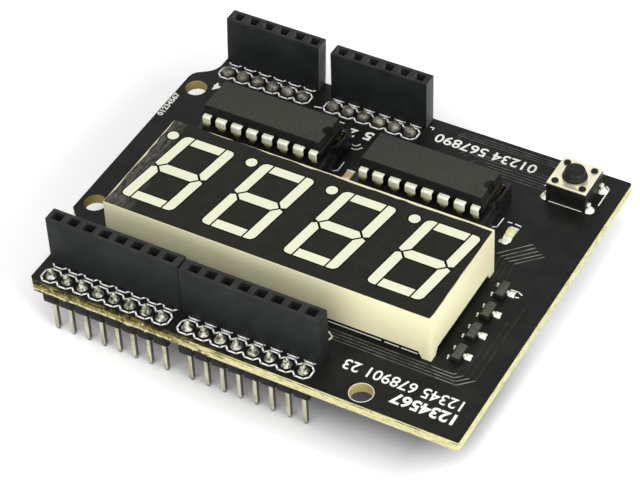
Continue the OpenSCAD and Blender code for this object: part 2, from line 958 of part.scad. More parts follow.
// Gull-wing lead, starting inside the body's right side
module gull_lead() {
    mid = 0.05 + transistor_h / 2;
    root = 0.2;
    knee = 0.18;
    translate([transistor_w / 2, foot_lead_w / 2, 0])
        rotate([90, 0, 0])
            linear_extrude(foot_lead_w)
                polygon([
                    [-root, mid - foot_lead_t / 2],
                    [knee - foot_lead_t, mid - foot_lead_t / 2],
                    [knee, 0],
                    [transistor_lead_reach, 0],
                    [transistor_lead_reach, foot_lead_t],
                    [knee + foot_lead_t, foot_lead_t],
                    [knee, mid + foot_lead_t / 2],
                    [-root, mid + foot_lead_t / 2]
                ]);
}

module transistor_lead_set() {
    gull_lead();
    for (side = [-1, 1])
        translate([0, side * side_lead_y, 0])
            rotate([0, 0, 180])
                gull_lead();
}

module transistor_bodies() {
    color([0.22, 0.22, 0.2])
        at_transistors()
            difference() {
                transistor_body();
                transistor_lead_set();
            }
}

module transistor_leads() {
    color([0.85, 0.84, 0.8])
        at_transistors()
            transistor_lead_set();
}

// Capacitor and indicator lamp, both lying along Y
cap_end = 0.4;
end_wrap = 0.04;

module small_block(x, w, l, z0, h) {
    translate([x - w / 2, small_y - l / 2, z_top + z0])
        cube([w, l, h]);
}

module end_caps(x, h) {
    difference() {
        small_block(x, chip_part_w, chip_part_l, 0, h);
        small_block(x, chip_part_w - 2 * end_wrap, chip_part_l - 2 * end_wrap, end_wrap, h - 2 * end_wrap);
        small_block(x, chip_part_w + 1, chip_part_l - 2 * cap_end, -1, h + 2);
    }
}

module capacitor_body() {
    color([0.78, 0.6, 0.3])
        small_block(capacitor_x, chip_part_w - 2 * end_wrap, chip_part_l - 2 * end_wrap,
            end_wrap, capacitor_h - 2 * end_wrap);
}

module capacitor_ends() {
    color([0.88, 0.87, 0.82])
        end_caps(capacitor_x, capacitor_h);
}

lamp_base_h = 0.4;

module lamp_base() {
    color([0.9, 0.88, 0.75])
        small_block(lamp_x, chip_part_w - 2 * end_wrap, chip_part_l - 2 * end_wrap,
            end_wrap, lamp_base_h - 2 * end_wrap);
}

module lamp_ends() {
    color([0.88, 0.87, 0.82])
        end_caps(lamp_x, lamp_base_h);
}

module lamp_lens() {
    lens_l = chip_part_l - 2 * cap_end - 0.04;
    color([0.92, 0.9, 0.55])
        union() {
            translate([lamp_x, small_y, z_top + lamp_base_h])
                linear_extrude(height = lamp_h - lamp_base_h, slices = 1, scale = [0.95, 0.8])
                    square([chip_part_w - 0.1, lens_l], center = true);
            small_block(lamp_x, chip_part_w - 0.1, lens_l, lamp_base_h - end_wrap, end_wrap);
        }
}

// Solder joint: a barrel that fills the hole round the pin and a fillet on one face
module joint(r, h, hole_d, bar) {
    barrel_r = hole_d / 2 - seat_gap;
    tip_r = hole_d / 2;
    difference() {
        rotate_extrude()
            polygon([
                [0, -board_t],
                [barrel_r, -board_t],
                [barrel_r, 0],
                [r, 0],
                [r * 0.93, h * 0.14],
                [r * 0.72 + tip_r * 0.28, h * 0.4],
                [tip_r + 0.05, h * 0.85],
                [tip_r, h],
                [0, h]
            ]);
        square_bar(bar, -board_t - 1, h + 1);
    }
}

under_joint_h = tail_l - 0.3;

module solder_colour() {
    color([0.8, 0.8, 0.76])
        children();
}

module near_pin_solder() {
    solder_colour()
        at_near_pins()
            translate([0, 0, z_top])
                joint(joint_r, 0.85 * pin_above, drill_d, pin_w);
}

// Rounder joints that close over the pins
module dome_joint(r, h, hole_d, bar, bar_h) {
    barrel_r = hole_d / 2 - seat_gap;
    difference() {
        rotate_extrude()
            polygon([
                [0, -board_t],
                [barrel_r, -board_t],
                [barrel_r, 0],
                [r, 0],
                [r * 0.98, h * 0.2],
                [r * 0.86, h * 0.55],
                [r * 0.6, h * 0.83],
                [r * 0.3, h * 0.96],
                [0, h]
            ]);
        square_bar(bar, -board_t - 1, bar_h);
    }
}

far_pin_above = 0.6;

module far_pin_solder() {
    solder_colour()
        at_far_pins()
            translate([0, 0, z_top])
                dome_joint(joint_r, 1, drill_d, pin_w, far_pin_above);
}

// Joints under the board are the same shape, upside down
module under() {
    translate([0, 0, z_under])
        mirror([0, 0, 1])
            children();
}

module socket_row_solder() {
    solder_colour()
        at_socket_tails()
            under()
                joint(under_joint_r, under_joint_h, drill_d, pin_w - 2 * seat_gap);
}

module display_solder() {
    solder_colour()
        at_display_pins()
            under()
                joint(under_joint_r, under_joint_h, thin_drill_d, thin_pin_w);
}

module chip_socket_solder() {
    solder_colour()
        for (x = [left_chip_x, right_chip_x])
            at_chip_leads(x)
                under()
                    joint(under_joint_r, under_joint_h, thin_drill_d, thin_pin_w);
}

module switch_solder() {
    solder_colour() {
        at_switch_legs()
            under()
                difference() {
                    cylinder(h = under_joint_h, r1 = under_joint_r, r2 = drill_d / 2);
                    cube([leg_t, leg_w, 4 * tail_l], center = true);
                }
        difference() {
            at_switch_legs()
                translate([0, 0, z_top])
                    difference() {
                        cylinder(h = 0.4, r1 = leg_joint_r, r2 = drill_d / 2);
                        cube([leg_t, leg_w, 2], center = true);
                    }
            translate([switch_x, switch_y, z_top])
                cube([switch_w, switch_w, 2], center = true);
        }
    }
}

// Fillets on the transistor feet and at the ends of the two small parts
module foot_fillet() {
    translate([transistor_w / 2 + transistor_lead_reach, 0, 0])
        rotate([90, 0, 0])
            translate([0, 0, -foot_lead_w / 2])
                linear_extrude(foot_lead_w)
                    polygon([[0, 0], [0.4, 0], [0.12, 0.12], [0, foot_lead_t]]);
}

module end_fillet(x, h) {
    for (side = [0, 1])
        translate([x, small_y, z_top])
            rotate([0, 0, side * 180])
                translate([-chip_part_w / 2, chip_part_l / 2, 0])
                    rotate([90, 0, 90])
                        linear_extrude(chip_part_w)
                            polygon([[0, 0], [0.55, 0], [0.2, h * 0.25], [0, h * 0.7]]);
}

module small_part_solder() {
    solder_colour() {
        at_transistors() {
            foot_fillet();
            for (side = [-1, 1])
                translate([0, side * side_lead_y, 0])
                    rotate([0, 0, 180])
                        foot_fillet();
        }
        end_fillet(capacitor_x, capacitor_h);
        end_fillet(lamp_x, lamp_base_h);
    }
}

// The groups of pins and sockets, and the two chips with their sockets
module near_left_pin_strip() { pin_strip(near_left_x, near_y, near_count); }
module near_right_pin_strip() { pin_strip(near_right_x, near_y, near_count); }
module far_left_pin_strip() { pin_strip(far_left_x, far_y, far_count); }
module far_right_pin_strip() { pin_strip(far_right_x, far_y, far_count); }
module near_left_pins() { pin_group(near_left_x, near_y, near_count, pin_above); }
module near_right_pins() { pin_group(near_right_x, near_y, near_count, pin_above); }
module far_left_pins() { pin_group(far_left_x, far_y, far_count, far_pin_above); }
module far_right_pins() { pin_group(far_right_x, far_y, far_count, far_pin_above); }
module near_left_socket() { socket_housing(near_left_x, near_left_socket_y, near_count); }
module near_right_socket() { socket_housing(near_right_x, near_right_socket_y, near_count); }
module far_left_socket() { socket_housing(far_left_x, far_left_socket_y, far_count); }
module far_right_socket() { socket_housing(far_right_x, far_right_socket_y, far_count); }
module near_left_socket_contacts() { socket_contacts(near_left_x, near_left_socket_y, near_count); }
module near_right_socket_contacts() { socket_contacts(near_right_x, near_right_socket_y, near_count); }
module far_left_socket_contacts() { socket_contacts(far_left_x, far_left_socket_y, far_count); }
module far_right_socket_contacts() { socket_contacts(far_right_x, far_right_socket_y, far_count); }
module left_chip_socket() { chip_socket(left_chip_x); }
module left_chip_socket_contacts() { chip_socket_contacts(left_chip_x); }
module left_chip_body() { chip_body(left_chip_x); }
module left_chip_leads() { chip_leads_set(left_chip_x); }
module right_chip_socket() { chip_socket(right_chip_x); }
module right_chip_socket_contacts() { chip_socket_contacts(right_chip_x); }
module right_chip_body() { chip_body(right_chip_x); }
module right_chip_leads() { chip_leads_set(right_chip_x); }

circuit_board();
near_left_pin_strip();
near_right_pin_strip();
far_left_pin_strip();
far_right_pin_strip();
near_left_pins();
near_right_pins();
far_left_pins();
far_right_pins();
near_left_socket();
near_right_socket();
far_left_socket();
far_right_socket();
near_left_socket_contacts();
near_right_socket_contacts();
far_left_socket_contacts();
far_right_socket_contacts();
display_shell();
display_face_film();
display_light_guides();
display_led_board();
display_led_dies();
display_pins();
left_chip_socket();
right_chip_socket();
left_chip_socket_contacts();
right_chip_socket_contacts();
left_chip_body();
right_chip_body();
left_chip_leads();
right_chip_leads();
switch_base();
switch_cover();
switch_dome();
switch_legs();
switch_plunger();
transistor_bodies();
transistor_leads();
capacitor_body();
capacitor_ends();
lamp_base();
lamp_lens();
lamp_ends();
near_pin_solder();
far_pin_solder();
socket_row_solder();
display_solder();
chip_socket_solder();
switch_solder();
small_part_solder();
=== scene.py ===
import json
import math
import random
import bpy
from mathutils import Matrix, Vector


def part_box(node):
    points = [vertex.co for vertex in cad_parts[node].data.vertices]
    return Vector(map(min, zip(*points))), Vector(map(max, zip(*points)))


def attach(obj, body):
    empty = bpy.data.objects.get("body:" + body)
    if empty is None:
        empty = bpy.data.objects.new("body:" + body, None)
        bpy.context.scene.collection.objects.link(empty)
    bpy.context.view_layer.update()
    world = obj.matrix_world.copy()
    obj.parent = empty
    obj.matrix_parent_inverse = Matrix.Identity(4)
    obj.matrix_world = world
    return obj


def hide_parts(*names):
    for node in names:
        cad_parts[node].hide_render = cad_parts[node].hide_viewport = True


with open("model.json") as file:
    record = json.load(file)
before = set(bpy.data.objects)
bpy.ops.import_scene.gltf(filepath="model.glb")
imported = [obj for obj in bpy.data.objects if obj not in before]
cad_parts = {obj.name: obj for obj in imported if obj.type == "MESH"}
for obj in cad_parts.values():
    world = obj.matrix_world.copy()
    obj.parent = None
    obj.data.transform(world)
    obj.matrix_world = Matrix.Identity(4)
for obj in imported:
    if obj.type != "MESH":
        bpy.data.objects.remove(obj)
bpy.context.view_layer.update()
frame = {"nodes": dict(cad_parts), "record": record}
mm = 0.001
rng = random.Random(7)
print("frame loaded:", len(frame["nodes"]), "nodes")


# selection and small modelling helpers

def deselectAll():
    if bpy.context.object and bpy.context.object.mode != "OBJECT":
        bpy.ops.object.mode_set(mode="OBJECT")
    bpy.ops.object.select_all(action="DESELECT")


def take(piece):
    deselectAll()
    piece.select_set(True)
    bpy.context.view_layer.objects.active = piece


def editAll(piece):
    take(piece)
    bpy.ops.object.mode_set(mode="EDIT")
    bpy.ops.mesh.select_all(action="SELECT")


def leaveEdit():
    bpy.ops.object.mode_set(mode="OBJECT")


def pickFaces(piece, test):
    take(piece)
    bpy.ops.object.mode_set(mode="EDIT")
    bpy.ops.mesh.select_mode(type="FACE")
    bpy.ops.mesh.select_all(action="DESELECT")
    leaveEdit()
    for face in piece.data.polygons:
        face.select = bool(test(face))
    bpy.ops.object.mode_set(mode="EDIT")


def named(name):
    piece = bpy.context.object
    piece.name = name
    piece.data.name = name
    return piece


def placed(name):
    # the piece just added, with its place and size put into its mesh
    piece = named(name)
    bpy.ops.object.transform_apply(location=True, rotation=True, scale=True)
    return piece


def newBox(name, low, high):
    deselectAll()
    centre = [(a + b) / 2 for a, b in zip(low, high)]
    bpy.ops.mesh.primitive_cube_add(size=1, location=centre)
    bpy.context.object.scale = [b - a for a, b in zip(low, high)]
    return placed(name)


def newDisc(name, centre, radius, height, sides=32):
    deselectAll()
    bpy.ops.mesh.primitive_cylinder_add(
        vertices=sides, radius=radius, depth=height,
        location=(centre[0], centre[1], centre[2] + height / 2))
    return placed(name)


def applyModifier(piece, kind, **values):
    take(piece)
    modifier = piece.modifiers.new(kind.title(), kind)
    for key, value in values.items():
        setattr(modifier, key, value)
    bpy.ops.object.modifier_apply(modifier=modifier.name)


def smoothUpTo(piece, angle):
    take(piece)
    bpy.ops.object.shade_smooth_by_angle(angle=math.radians(angle))


def softenEdges(piece, width, segments=2, angle=30):
    applyModifier(piece, "BEVEL", width=width, segments=segments, limit_method="ANGLE",
                  angle_limit=math.radians(angle), harden_normals=False, use_clamp_overlap=True)
    smoothUpTo(piece, 40)


def cutAway(piece, tool):
    applyModifier(piece, "BOOLEAN", object=tool, operation="DIFFERENCE", solver="EXACT")
    bpy.data.objects.remove(tool)


def copyOf(piece, name):
    other = piece.copy()
    other.data = piece.data.copy()
    other.name = name
    other.data.name = name
    bpy.context.scene.collection.objects.link(other)
    return other


def joined(pieces, name):
    deselectAll()
    for piece in pieces:
        piece.select_set(True)
    bpy.context.view_layer.objects.active = pieces[0]
    bpy.ops.object.join()
    return named(name)


def faceOut(piece):
    editAll(piece)
    bpy.ops.mesh.remove_doubles(threshold=1e-7)
    bpy.ops.mesh.normals_make_consistent(inside=False)
    leaveEdit()


def roundedCopy(node, name, width, segments=2, angle=30):
    # a merged copy of the carried-over part with its edges broken, width in millimetres
    deselectAll()
    piece = copyOf(frame["nodes"][node], name)
    for key in list(piece.keys()):
        del piece[key]
    piece.parent = None
    piece.matrix_world = Matrix.Identity(4)
    piece.data.materials.clear()
    editAll(piece)
    bpy.ops.mesh.remove_doubles(threshold=2e-6)
    bpy.ops.mesh.dissolve_limited(angle_limit=math.radians(1))
    leaveEdit()
    if piece.data.has_custom_normals:
        bpy.ops.mesh.customdata_custom_splitnormals_clear()
    softenEdges(piece, width * mm, segments, angle)
    return piece


def finishPiece(piece, body, slot, material, *nodes):
    take(piece)
    bpy.ops.object.transform_apply(location=True, rotation=True, scale=True)
    piece.data.materials.clear()
    piece.data.materials.append(material)
    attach(piece, body)
    if nodes:
        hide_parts(*nodes)


def paintNode(node, material):
    part = frame["nodes"][node]
    if not part.material_slots:
        part.data.materials.append(material)
    for materialSlot in part.material_slots:
        materialSlot.material = material


def dressNode(node, slot, look, width, segments=2, angle=30, name=None, body="board"):
    # the carried-over part again, with broken edges and its finish: switch_base becomes switchBase
    words = node.split("_")
    name = name or words[0] + "".join(word.title() for word in words[1:])
    finishPiece(roundedCopy(node, name, width, segments, angle), body, slot, looks[look], node)


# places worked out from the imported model

boardLow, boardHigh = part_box("circuit_board")
topZ = boardHigh.z
underZ = boardLow.z


def spot(right, far, up=0.0):
    # a place on the board's top, in millimetres from its right and far edges
    return Vector((boardHigh.x - right * mm, boardHigh.y - far * mm, topZ + up * mm))


def rowCentres(node, count, width):
    # the middles of what stands in a row in one node, each width millimetres wide
    low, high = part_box(node)
    first = low.x + width * mm / 2
    step = (high.x - low.x - width * mm) / (count - 1)
    return [Vector((first + i * step, (low.y + high.y) / 2, low.z)) for i in range(count)]


rowCounts = {"near_left": 8, "near_right": 8, "far_left": 6, "far_right": 6}
pinWidth, contactWidth = 0.64, 0.72
pinPlaces = {row: rowCentres(row + "_pins", n, pinWidth) for row, n in rowCounts.items()}
mountHoles = [Vector(m["pos_m"]) for m in frame["record"]["mounts"] if m["kind"] == "bore"]


# materials: a node's inputs are given by name or number, as values or as what feeds them

def addNode(tree, kind, inputs=None, **settings):
    node = tree.nodes.new("ShaderNode" + kind)
    for key, value in settings.items():
        setattr(node, key, value)
    for key, value in (inputs or {}).items():
        if isinstance(value, bpy.types.NodeSocket):
            tree.links.new(value, node.inputs[key])
        else:
            node.inputs[key].default_value = value
    return node


def startMaterial(name, colour, roughness, metallic=0.0, specular=0.5):
    material = bpy.data.materials.new(name)
    material.use_nodes = True
    shader = material.node_tree.nodes["Principled BSDF"]
    shader.inputs["Base Color"].default_value = (*colour, 1)
    shader.inputs["Roughness"].default_value = roughness
    shader.inputs["Metallic"].default_value = metallic
    shader.inputs["Specular IOR Level"].default_value = specular
    return material, material.node_tree, shader


def objectNoise(tree, size, detail=4.0, roughness=0.55, stretch=None):
    # noise whose grains are about size metres across
    where = addNode(tree, "TexCoord").outputs["Object"]
    if stretch:
        where = addNode(tree, "Mapping", {"Vector": where, "Scale": stretch}).outputs["Vector"]
    noise = addNode(tree, "TexNoise", {"Vector": where, "Scale": 1 / size, "Detail": detail,
                                       "Roughness": roughness})
    return noise.outputs["Fac"]


def ramp(tree, source, *stops):
    band = addNode(tree, "ValToRGB", {"Fac": source})
    points = band.color_ramp.elements
    while len(points) < len(stops):
        points.new(0.5)
    for point, (place, colour) in zip(points, stops):
        point.position = place
        point.color = (*colour, 1)
    return band.outputs["Color"]


def grey(v):
    return (v, v, v)


def placeOn(tree):
    # where a point of the surface lies, as X, Y and Z
    where = addNode(tree, "TexCoord").outputs["Object"]
    return addNode(tree, "SeparateXYZ", {"Vector": where}).outputs


def facingOf(tree):
    # which way a point of the surface faces, as X, Y and Z
    normal = addNode(tree, "NewGeometry").outputs["Normal"]
    return addNode(tree, "SeparateXYZ", {"Vector": normal}).outputs


def mappedRange(tree, source, low, high, start=0.0, end=1.0):
    spread = addNode(tree, "MapRange", {"Value": source, "From Min": low, "From Max": high,
                                        "To Min": start, "To Max": end})
    return spread.outputs["Result"]


def reckoned(tree, first, second, operation="MULTIPLY"):
    return addNode(tree, "Math", {0: first, 1: second}, operation=operation).outputs[0]


def blended(tree, amount, first, second, way="MIX"):
    colours = [(*colour, 1) if isinstance(colour, tuple) else colour for colour in (first, second)]
    mix = addNode(tree, "Mix", data_type="RGBA", blend_type=way)
    for socket, value in zip((mix.inputs[0], mix.inputs[6], mix.inputs[7]), (amount, *colours)):
        if isinstance(value, bpy.types.NodeSocket):
            tree.links.new(value, socket)
        else:
            socket.default_value = value
    return mix.outputs[2]


def addBump(tree, shader, source, height):
    bump = addNode(tree, "Bump", {"Height": source, "Strength": 1, "Distance": height})
    tree.links.new(bump.outputs["Normal"], shader.inputs["Normal"])


def speckledMaterial(name, dark, light, size, roughness, bumpHeight=0.00001, spread=(0.35, 0.7),
                     metallic=0.0, specular=0.3, roughRange=None):
    material, tree, shader = startMaterial(name, dark, roughness, metallic, specular)
    noise = objectNoise(tree, size)
    tree.links.new(ramp(tree, noise, (spread[0], dark), (spread[1], light)), shader.inputs["Base Color"])
    if roughRange:
        rough = ramp(tree, noise, (0.3, grey(roughRange[0])), (0.75, grey(roughRange[1])))
        tree.links.new(rough, shader.inputs["Roughness"])
    addBump(tree, shader, objectNoise(tree, size * 0.5, 2), bumpHeight)
    return material


def toppedMaterial(name, below, above, level, size, roughness, bumpHeight, specular=0.22, side=None):
    # a pair of colours below a height and another above it, for a top lighter than its sides, and a painted
    # highlight for right ends in the far half
    material, tree, shader = startMaterial(name, below[0], roughness, specular=specular)
    noise = objectNoise(tree, size)
    low, high = [ramp(tree, noise, (0.3, pair[0]), (0.75, pair[1])) for pair in (below, above)]
    here = placeOn(tree)
    tone = blended(tree, reckoned(tree, here["Z"], level, "GREATER_THAN"), low, high)
    if side:
        # painted highlight on the faces that turn right in the far half
        rightSheenMask = mappedRange(tree, facingOf(tree)["X"], 0.7, 0.95)
        far = reckoned(tree, here["Y"], 0, "GREATER_THAN")
        tone = blended(tree, reckoned(tree, rightSheenMask, far), tone, side)
    tree.links.new(tone, shader.inputs["Base Color"])
    addBump(tree, shader, objectNoise(tree, size * 0.5, 2), bumpHeight)
    return material


# colours, then widths in millimetres and heights as shares of the board's thickness
boardLook = {
    "maskDark": (0.0058, 0.0061, 0.0054),
    "maskLight": (0.0135, 0.0142, 0.0127),
    "edgePale": (0.70, 0.66, 0.36),
    "edgeWorn": (0.44, 0.39, 0.16),
    "edgeDark": (0.022, 0.019, 0.007),
    "edgeOlive": (0.26, 0.215, 0.065),
    "speck": (0.62, 0.58, 0.36),
    "holeWall": (0.40, 0.33, 0.12),
    "roughness": 0.42,
    "edgeRoughness": 0.85,
    "specular": 0.14,
    "holeReach": 1.95,
    "nearEdgeDepth": 0.6,
    "bandWaves": 0.16,
    "leftShadeFrom": (3, -14),
    "rubDepth": (0.55, 0.15),
    "rubFrom": (6, -8),
    "score": (0.70, 0.75, 0.84, 0.88),
}


def boardMaterial():
    # black mask on the two faces, bare laminate on the edges and in the holes
    look = boardLook
    material, tree, shader = startMaterial("boardLaminate", look["maskDark"], look["roughness"],
                                           specular=look["specular"])
    mask = ramp(tree, objectNoise(tree, 0.004, 3), (0.35, look["maskDark"]), (0.7, look["maskLight"]))
    fibre = objectNoise(tree, 0.0005, 5, 0.7, (0.4, 0.4, 1.4))
    edge = ramp(tree, fibre, (0.38, look["edgeWorn"]), (0.52, look["edgePale"]), (0.7, look["edgePale"]))
    wall = blended(tree, holeMask(tree), shadedNearEdge(tree, edge), look["holeWall"])
    flat = reckoned(tree, reckoned(tree, facingOf(tree)["Z"], 0, "ABSOLUTE"), 0.5, "GREATER_THAN")
    tree.links.new(blended(tree, flat, wall, wornMargin(tree, mask)), shader.inputs["Base Color"])
    tree.links.new(mappedRange(tree, flat, 0, 1, look["edgeRoughness"], look["roughness"]),
                   shader.inputs["Roughness"])
    addBump(tree, shader, objectNoise(tree, 0.0012, 2), 0.000006)
    return material


def holeMask(tree):
    # 1 near the middle of a mounting hole, 0 elsewhere
    where = addNode(tree, "TexCoord").outputs["Object"]
    total = None
    for place in mountHoles:
        middle = (place.x, place.y, (topZ + underZ) / 2)
        gap = addNode(tree, "VectorMath", {0: where, 1: middle}, operation="DISTANCE").outputs["Value"]
        near = reckoned(tree, gap, boardLook["holeReach"] * mm, "LESS_THAN")
        total = reckoned(tree, total, near, "MAXIMUM") if total else near
    return total


def shadedNearEdge(tree, pale):
    # the near edge is scored below its top line and darkened towards its left end with painted shade,
    # blotched and flecked
    look = boardLook
    here = placeOn(tree)
    near = reckoned(tree, here["Y"], boardLow.y + look["nearEdgeDepth"] * mm, "LESS_THAN")
    height = mappedRange(tree, here["Z"], underZ, topZ)
    streak = objectNoise(tree, 0.0012, 6, 0.7, (0.4, 1, 2))
    # bands of the darkened part, from the bottom up: dark, cream line, olive, dark
    waves = mappedRange(tree, streak, 0, 1, -look["bandWaves"], look["bandWaves"])
    bands = ramp(tree, reckoned(tree, height, waves, "ADD"),
                 (0.0, look["edgeDark"]), (0.14, look["edgeDark"]), (0.2, look["edgePale"]),
                 (0.32, look["edgePale"]), (0.4, look["edgeOlive"]), (0.78, look["edgeOlive"]),
                 (0.88, look["edgeDark"]))
    blot = objectNoise(tree, 0.0007, 5, 0.7)
    blotted = blended(tree, mappedRange(tree, blot, 0.5, 0.62, 0.0, 0.9), bands, look["edgeDark"])
    darkBands = blended(tree, mappedRange(tree, blot, 0.43, 0.34), blotted, look["speck"])
    # painted shade, growing towards the left end of the near edge
    start, end = look["leftShadeFrom"]
    left = mappedRange(tree, here["X"], start * mm, end * mm, 0.0, 0.4)
    leftShadeMask = reckoned(tree, near, mappedRange(tree, reckoned(tree, left, streak, "ADD"), 0.60, 0.72))
    # a thin broken score just below the mask on the clean part
    score = ramp(tree, height, *zip(look["score"], (grey(0), grey(0.9), grey(0.9), grey(0))))
    broken = reckoned(tree, score, mappedRange(tree, streak, 0.42, 0.54))
    clean = blended(tree, reckoned(tree, near, broken), pale, look["edgeDark"])
    return blended(tree, leftShadeMask, clean, darkBands)


def wornMargin(tree, mask):
    # the near margin of the top is rubbed olive, most of all towards the left
    look = boardLook
    here = placeOn(tree)
    margin = mappedRange(tree, here["Y"], *[boardLow.y + depth * mm for depth in look["rubDepth"]])
    left = mappedRange(tree, here["X"], *[x * mm for x in look["rubFrom"]])
    rub = mappedRange(tree, objectNoise(tree, 0.0009, 6, 0.7, (0.6, 1, 1)), 0.44, 0.6)
    return blended(tree, reckoned(tree, rub, reckoned(tree, margin, left)), mask, look["edgeOlive"])


displayLook = {
    "shell": (0.91, 0.87, 0.58),
    "shellDeep": (0.88, 0.83, 0.53),
    "film": (0.0135, 0.013, 0.0095),
    "filmLight": (0.019, 0.018, 0.014),
    "scuff": (0.13, 0.125, 0.105),
    "glareWidths": (4.6, 2.2),  # at the near and at the far end
    "outline": (0.0012, 0.0012, 0.0012),
    "segment": (0.80, 0.82, 0.60),
    "segmentLight": (0.86, 0.87, 0.66),
}


def filmMaterial(low, high):
    # dark film with a lighter wedge along its left end: scuffs under a painted glare
    look = displayLook
    material, tree, shader = startMaterial("faceFilm", look["film"], 0.5, specular=0.1)
    base = ramp(tree, objectNoise(tree, 0.0015), (0.4, look["film"]), (0.7, look["filmLight"]))
    here = placeOn(tree)
    width = mappedRange(tree, here["Y"], low.y, high.y, *[w * mm for w in look["glareWidths"]])
    share = reckoned(tree, reckoned(tree, here["X"], low.x, "SUBTRACT"), width, "DIVIDE")
    scratches = mappedRange(tree, objectNoise(tree, 0.0007, 6, 0.75, (1.6, 0.5, 1)), 0.38, 0.66)
    # the wedge: scratches with a painted glare
    amount = reckoned(tree, mappedRange(tree, share, 0.55, 1.05, 1, 0), scratches)
    tree.links.new(blended(tree, amount, base, look["scuff"]), shader.inputs["Base Color"])
    addBump(tree, shader, objectNoise(tree, 0.0003, 2), 0.000004)
    return material


# fade: height above the chip body's underside, from where to where, and the tint on the way up: painted
# shade, darkest at the bottom
leadLook = {
    "dull": (0.84, 0.86, 0.66),
    "bright": (0.93, 0.94, 0.82),
    "fade": (-0.05, 1.15),
    "tints": ((0.0, (0.03, 0.027, 0.012)), (0.2, (0.20, 0.20, 0.07)), (0.5, (0.62, 0.63, 0.33)),
              (0.72, (1, 1, 0.95))),
    "farRow": (0.035, 0.032, 0.024),
}


def leadMaterial():
    # bright plate above, with painted shade turning it olive and dark where the leg enters its socket, and
    # the far row darkened all over with painted shade
    look = leadLook
    material, tree, shader = startMaterial("leadMetal", (0.8, 0.8, 0.7), 0.5, 0.2, 0.3)
    grain = objectNoise(tree, 0.0005)
    plate = ramp(tree, grain, (0.35, look["dull"]), (0.65, look["bright"]))
    here = placeOn(tree)
    low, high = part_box("left_chip_body")
    legShade = ramp(tree, mappedRange(tree, here["Z"], *[low.z + up * mm for up in look["fade"]]), *look["tints"])
    # painted shade over the far row
    far = reckoned(tree, here["Y"], (low.y + high.y) / 2, "GREATER_THAN")
    tree.links.new(blended(tree, far, blended(tree, 1, plate, legShade, "MULTIPLY"), look["farRow"]),
                   shader.inputs["Base Color"])
    addBump(tree, shader, grain, 0.000006)
    return material


pinLook = {"dull": (0.34, 0.32, 0.19), "bright": (0.70, 0.68, 0.51), "pinShade": (0.035, 0.03, 0.015),
           "tip": (0.65, 0.2)}


def pinMaterial():
    # pale tin, with painted shade on the sides that face right and at the lower tips
    look = pinLook
    material, tree, shader = startMaterial("pinMetal", (0.6, 0.58, 0.42), 0.36, 0.45)
    grain = objectNoise(tree, 0.0008, stretch=(1, 1, 0.25))
    pale = ramp(tree, grain, (0.35, look["dull"]), (0.68, look["bright"]))
    # painted shade on the faces that turn right and on the lower tips
    side = mappedRange(tree, facingOf(tree)["X"], 0.3, 0.7, 0.0, 0.9)
    tip = mappedRange(tree, placeOn(tree)["Z"], *[z * mm for z in look["tip"]], 0.0, 0.95)
    tree.links.new(blended(tree, reckoned(tree, side, tip, "MAXIMUM"), pale, look["pinShade"]),
                   shader.inputs["Base Color"])
    addBump(tree, shader, grain, 0.000004)
    return material


# across: from left to right in millimetres from the board's right edge, with the stretches of painted shade
# between
smallLeadLook = {"dull": (0.74, 0.74, 0.64), "bright": (0.93, 0.93, 0.85), "shade": (0.03, 0.028, 0.02),
                 "across": (8.6, 6.6), "shadeFar": 25,
                 "stretches": ((0.0, 1), (0.26, 1), (0.28, 0), (0.34, 0), (0.36, 1), (0.98, 1), (1.0, 0))}


def smallLeadMaterial():
    # bright tin, with painted shade where the transistors' left legs pass between body and pad
    look = smallLeadLook
    material, tree, shader = startMaterial("smallLead", (0.85, 0.84, 0.75), 0.4, 0.2)
    grain = objectNoise(tree, 0.0005)
    pale = ramp(tree, grain, (0.35, look["dull"]), (0.65, look["bright"]))
    here = placeOn(tree)
    across = mappedRange(tree, here["X"], *[boardHigh.x - right * mm for right in look["across"]])
    dull = ramp(tree, across, *[(place, grey(v)) for place, v in look["stretches"]])
    near = reckoned(tree, here["Y"], boardHigh.y - look["shadeFar"] * mm, "LESS_THAN")
    tree.links.new(blended(tree, reckoned(tree, near, dull), pale, look["shade"]),
                   shader.inputs["Base Color"])
    addBump(tree, shader, grain, 0.000006)
    return material


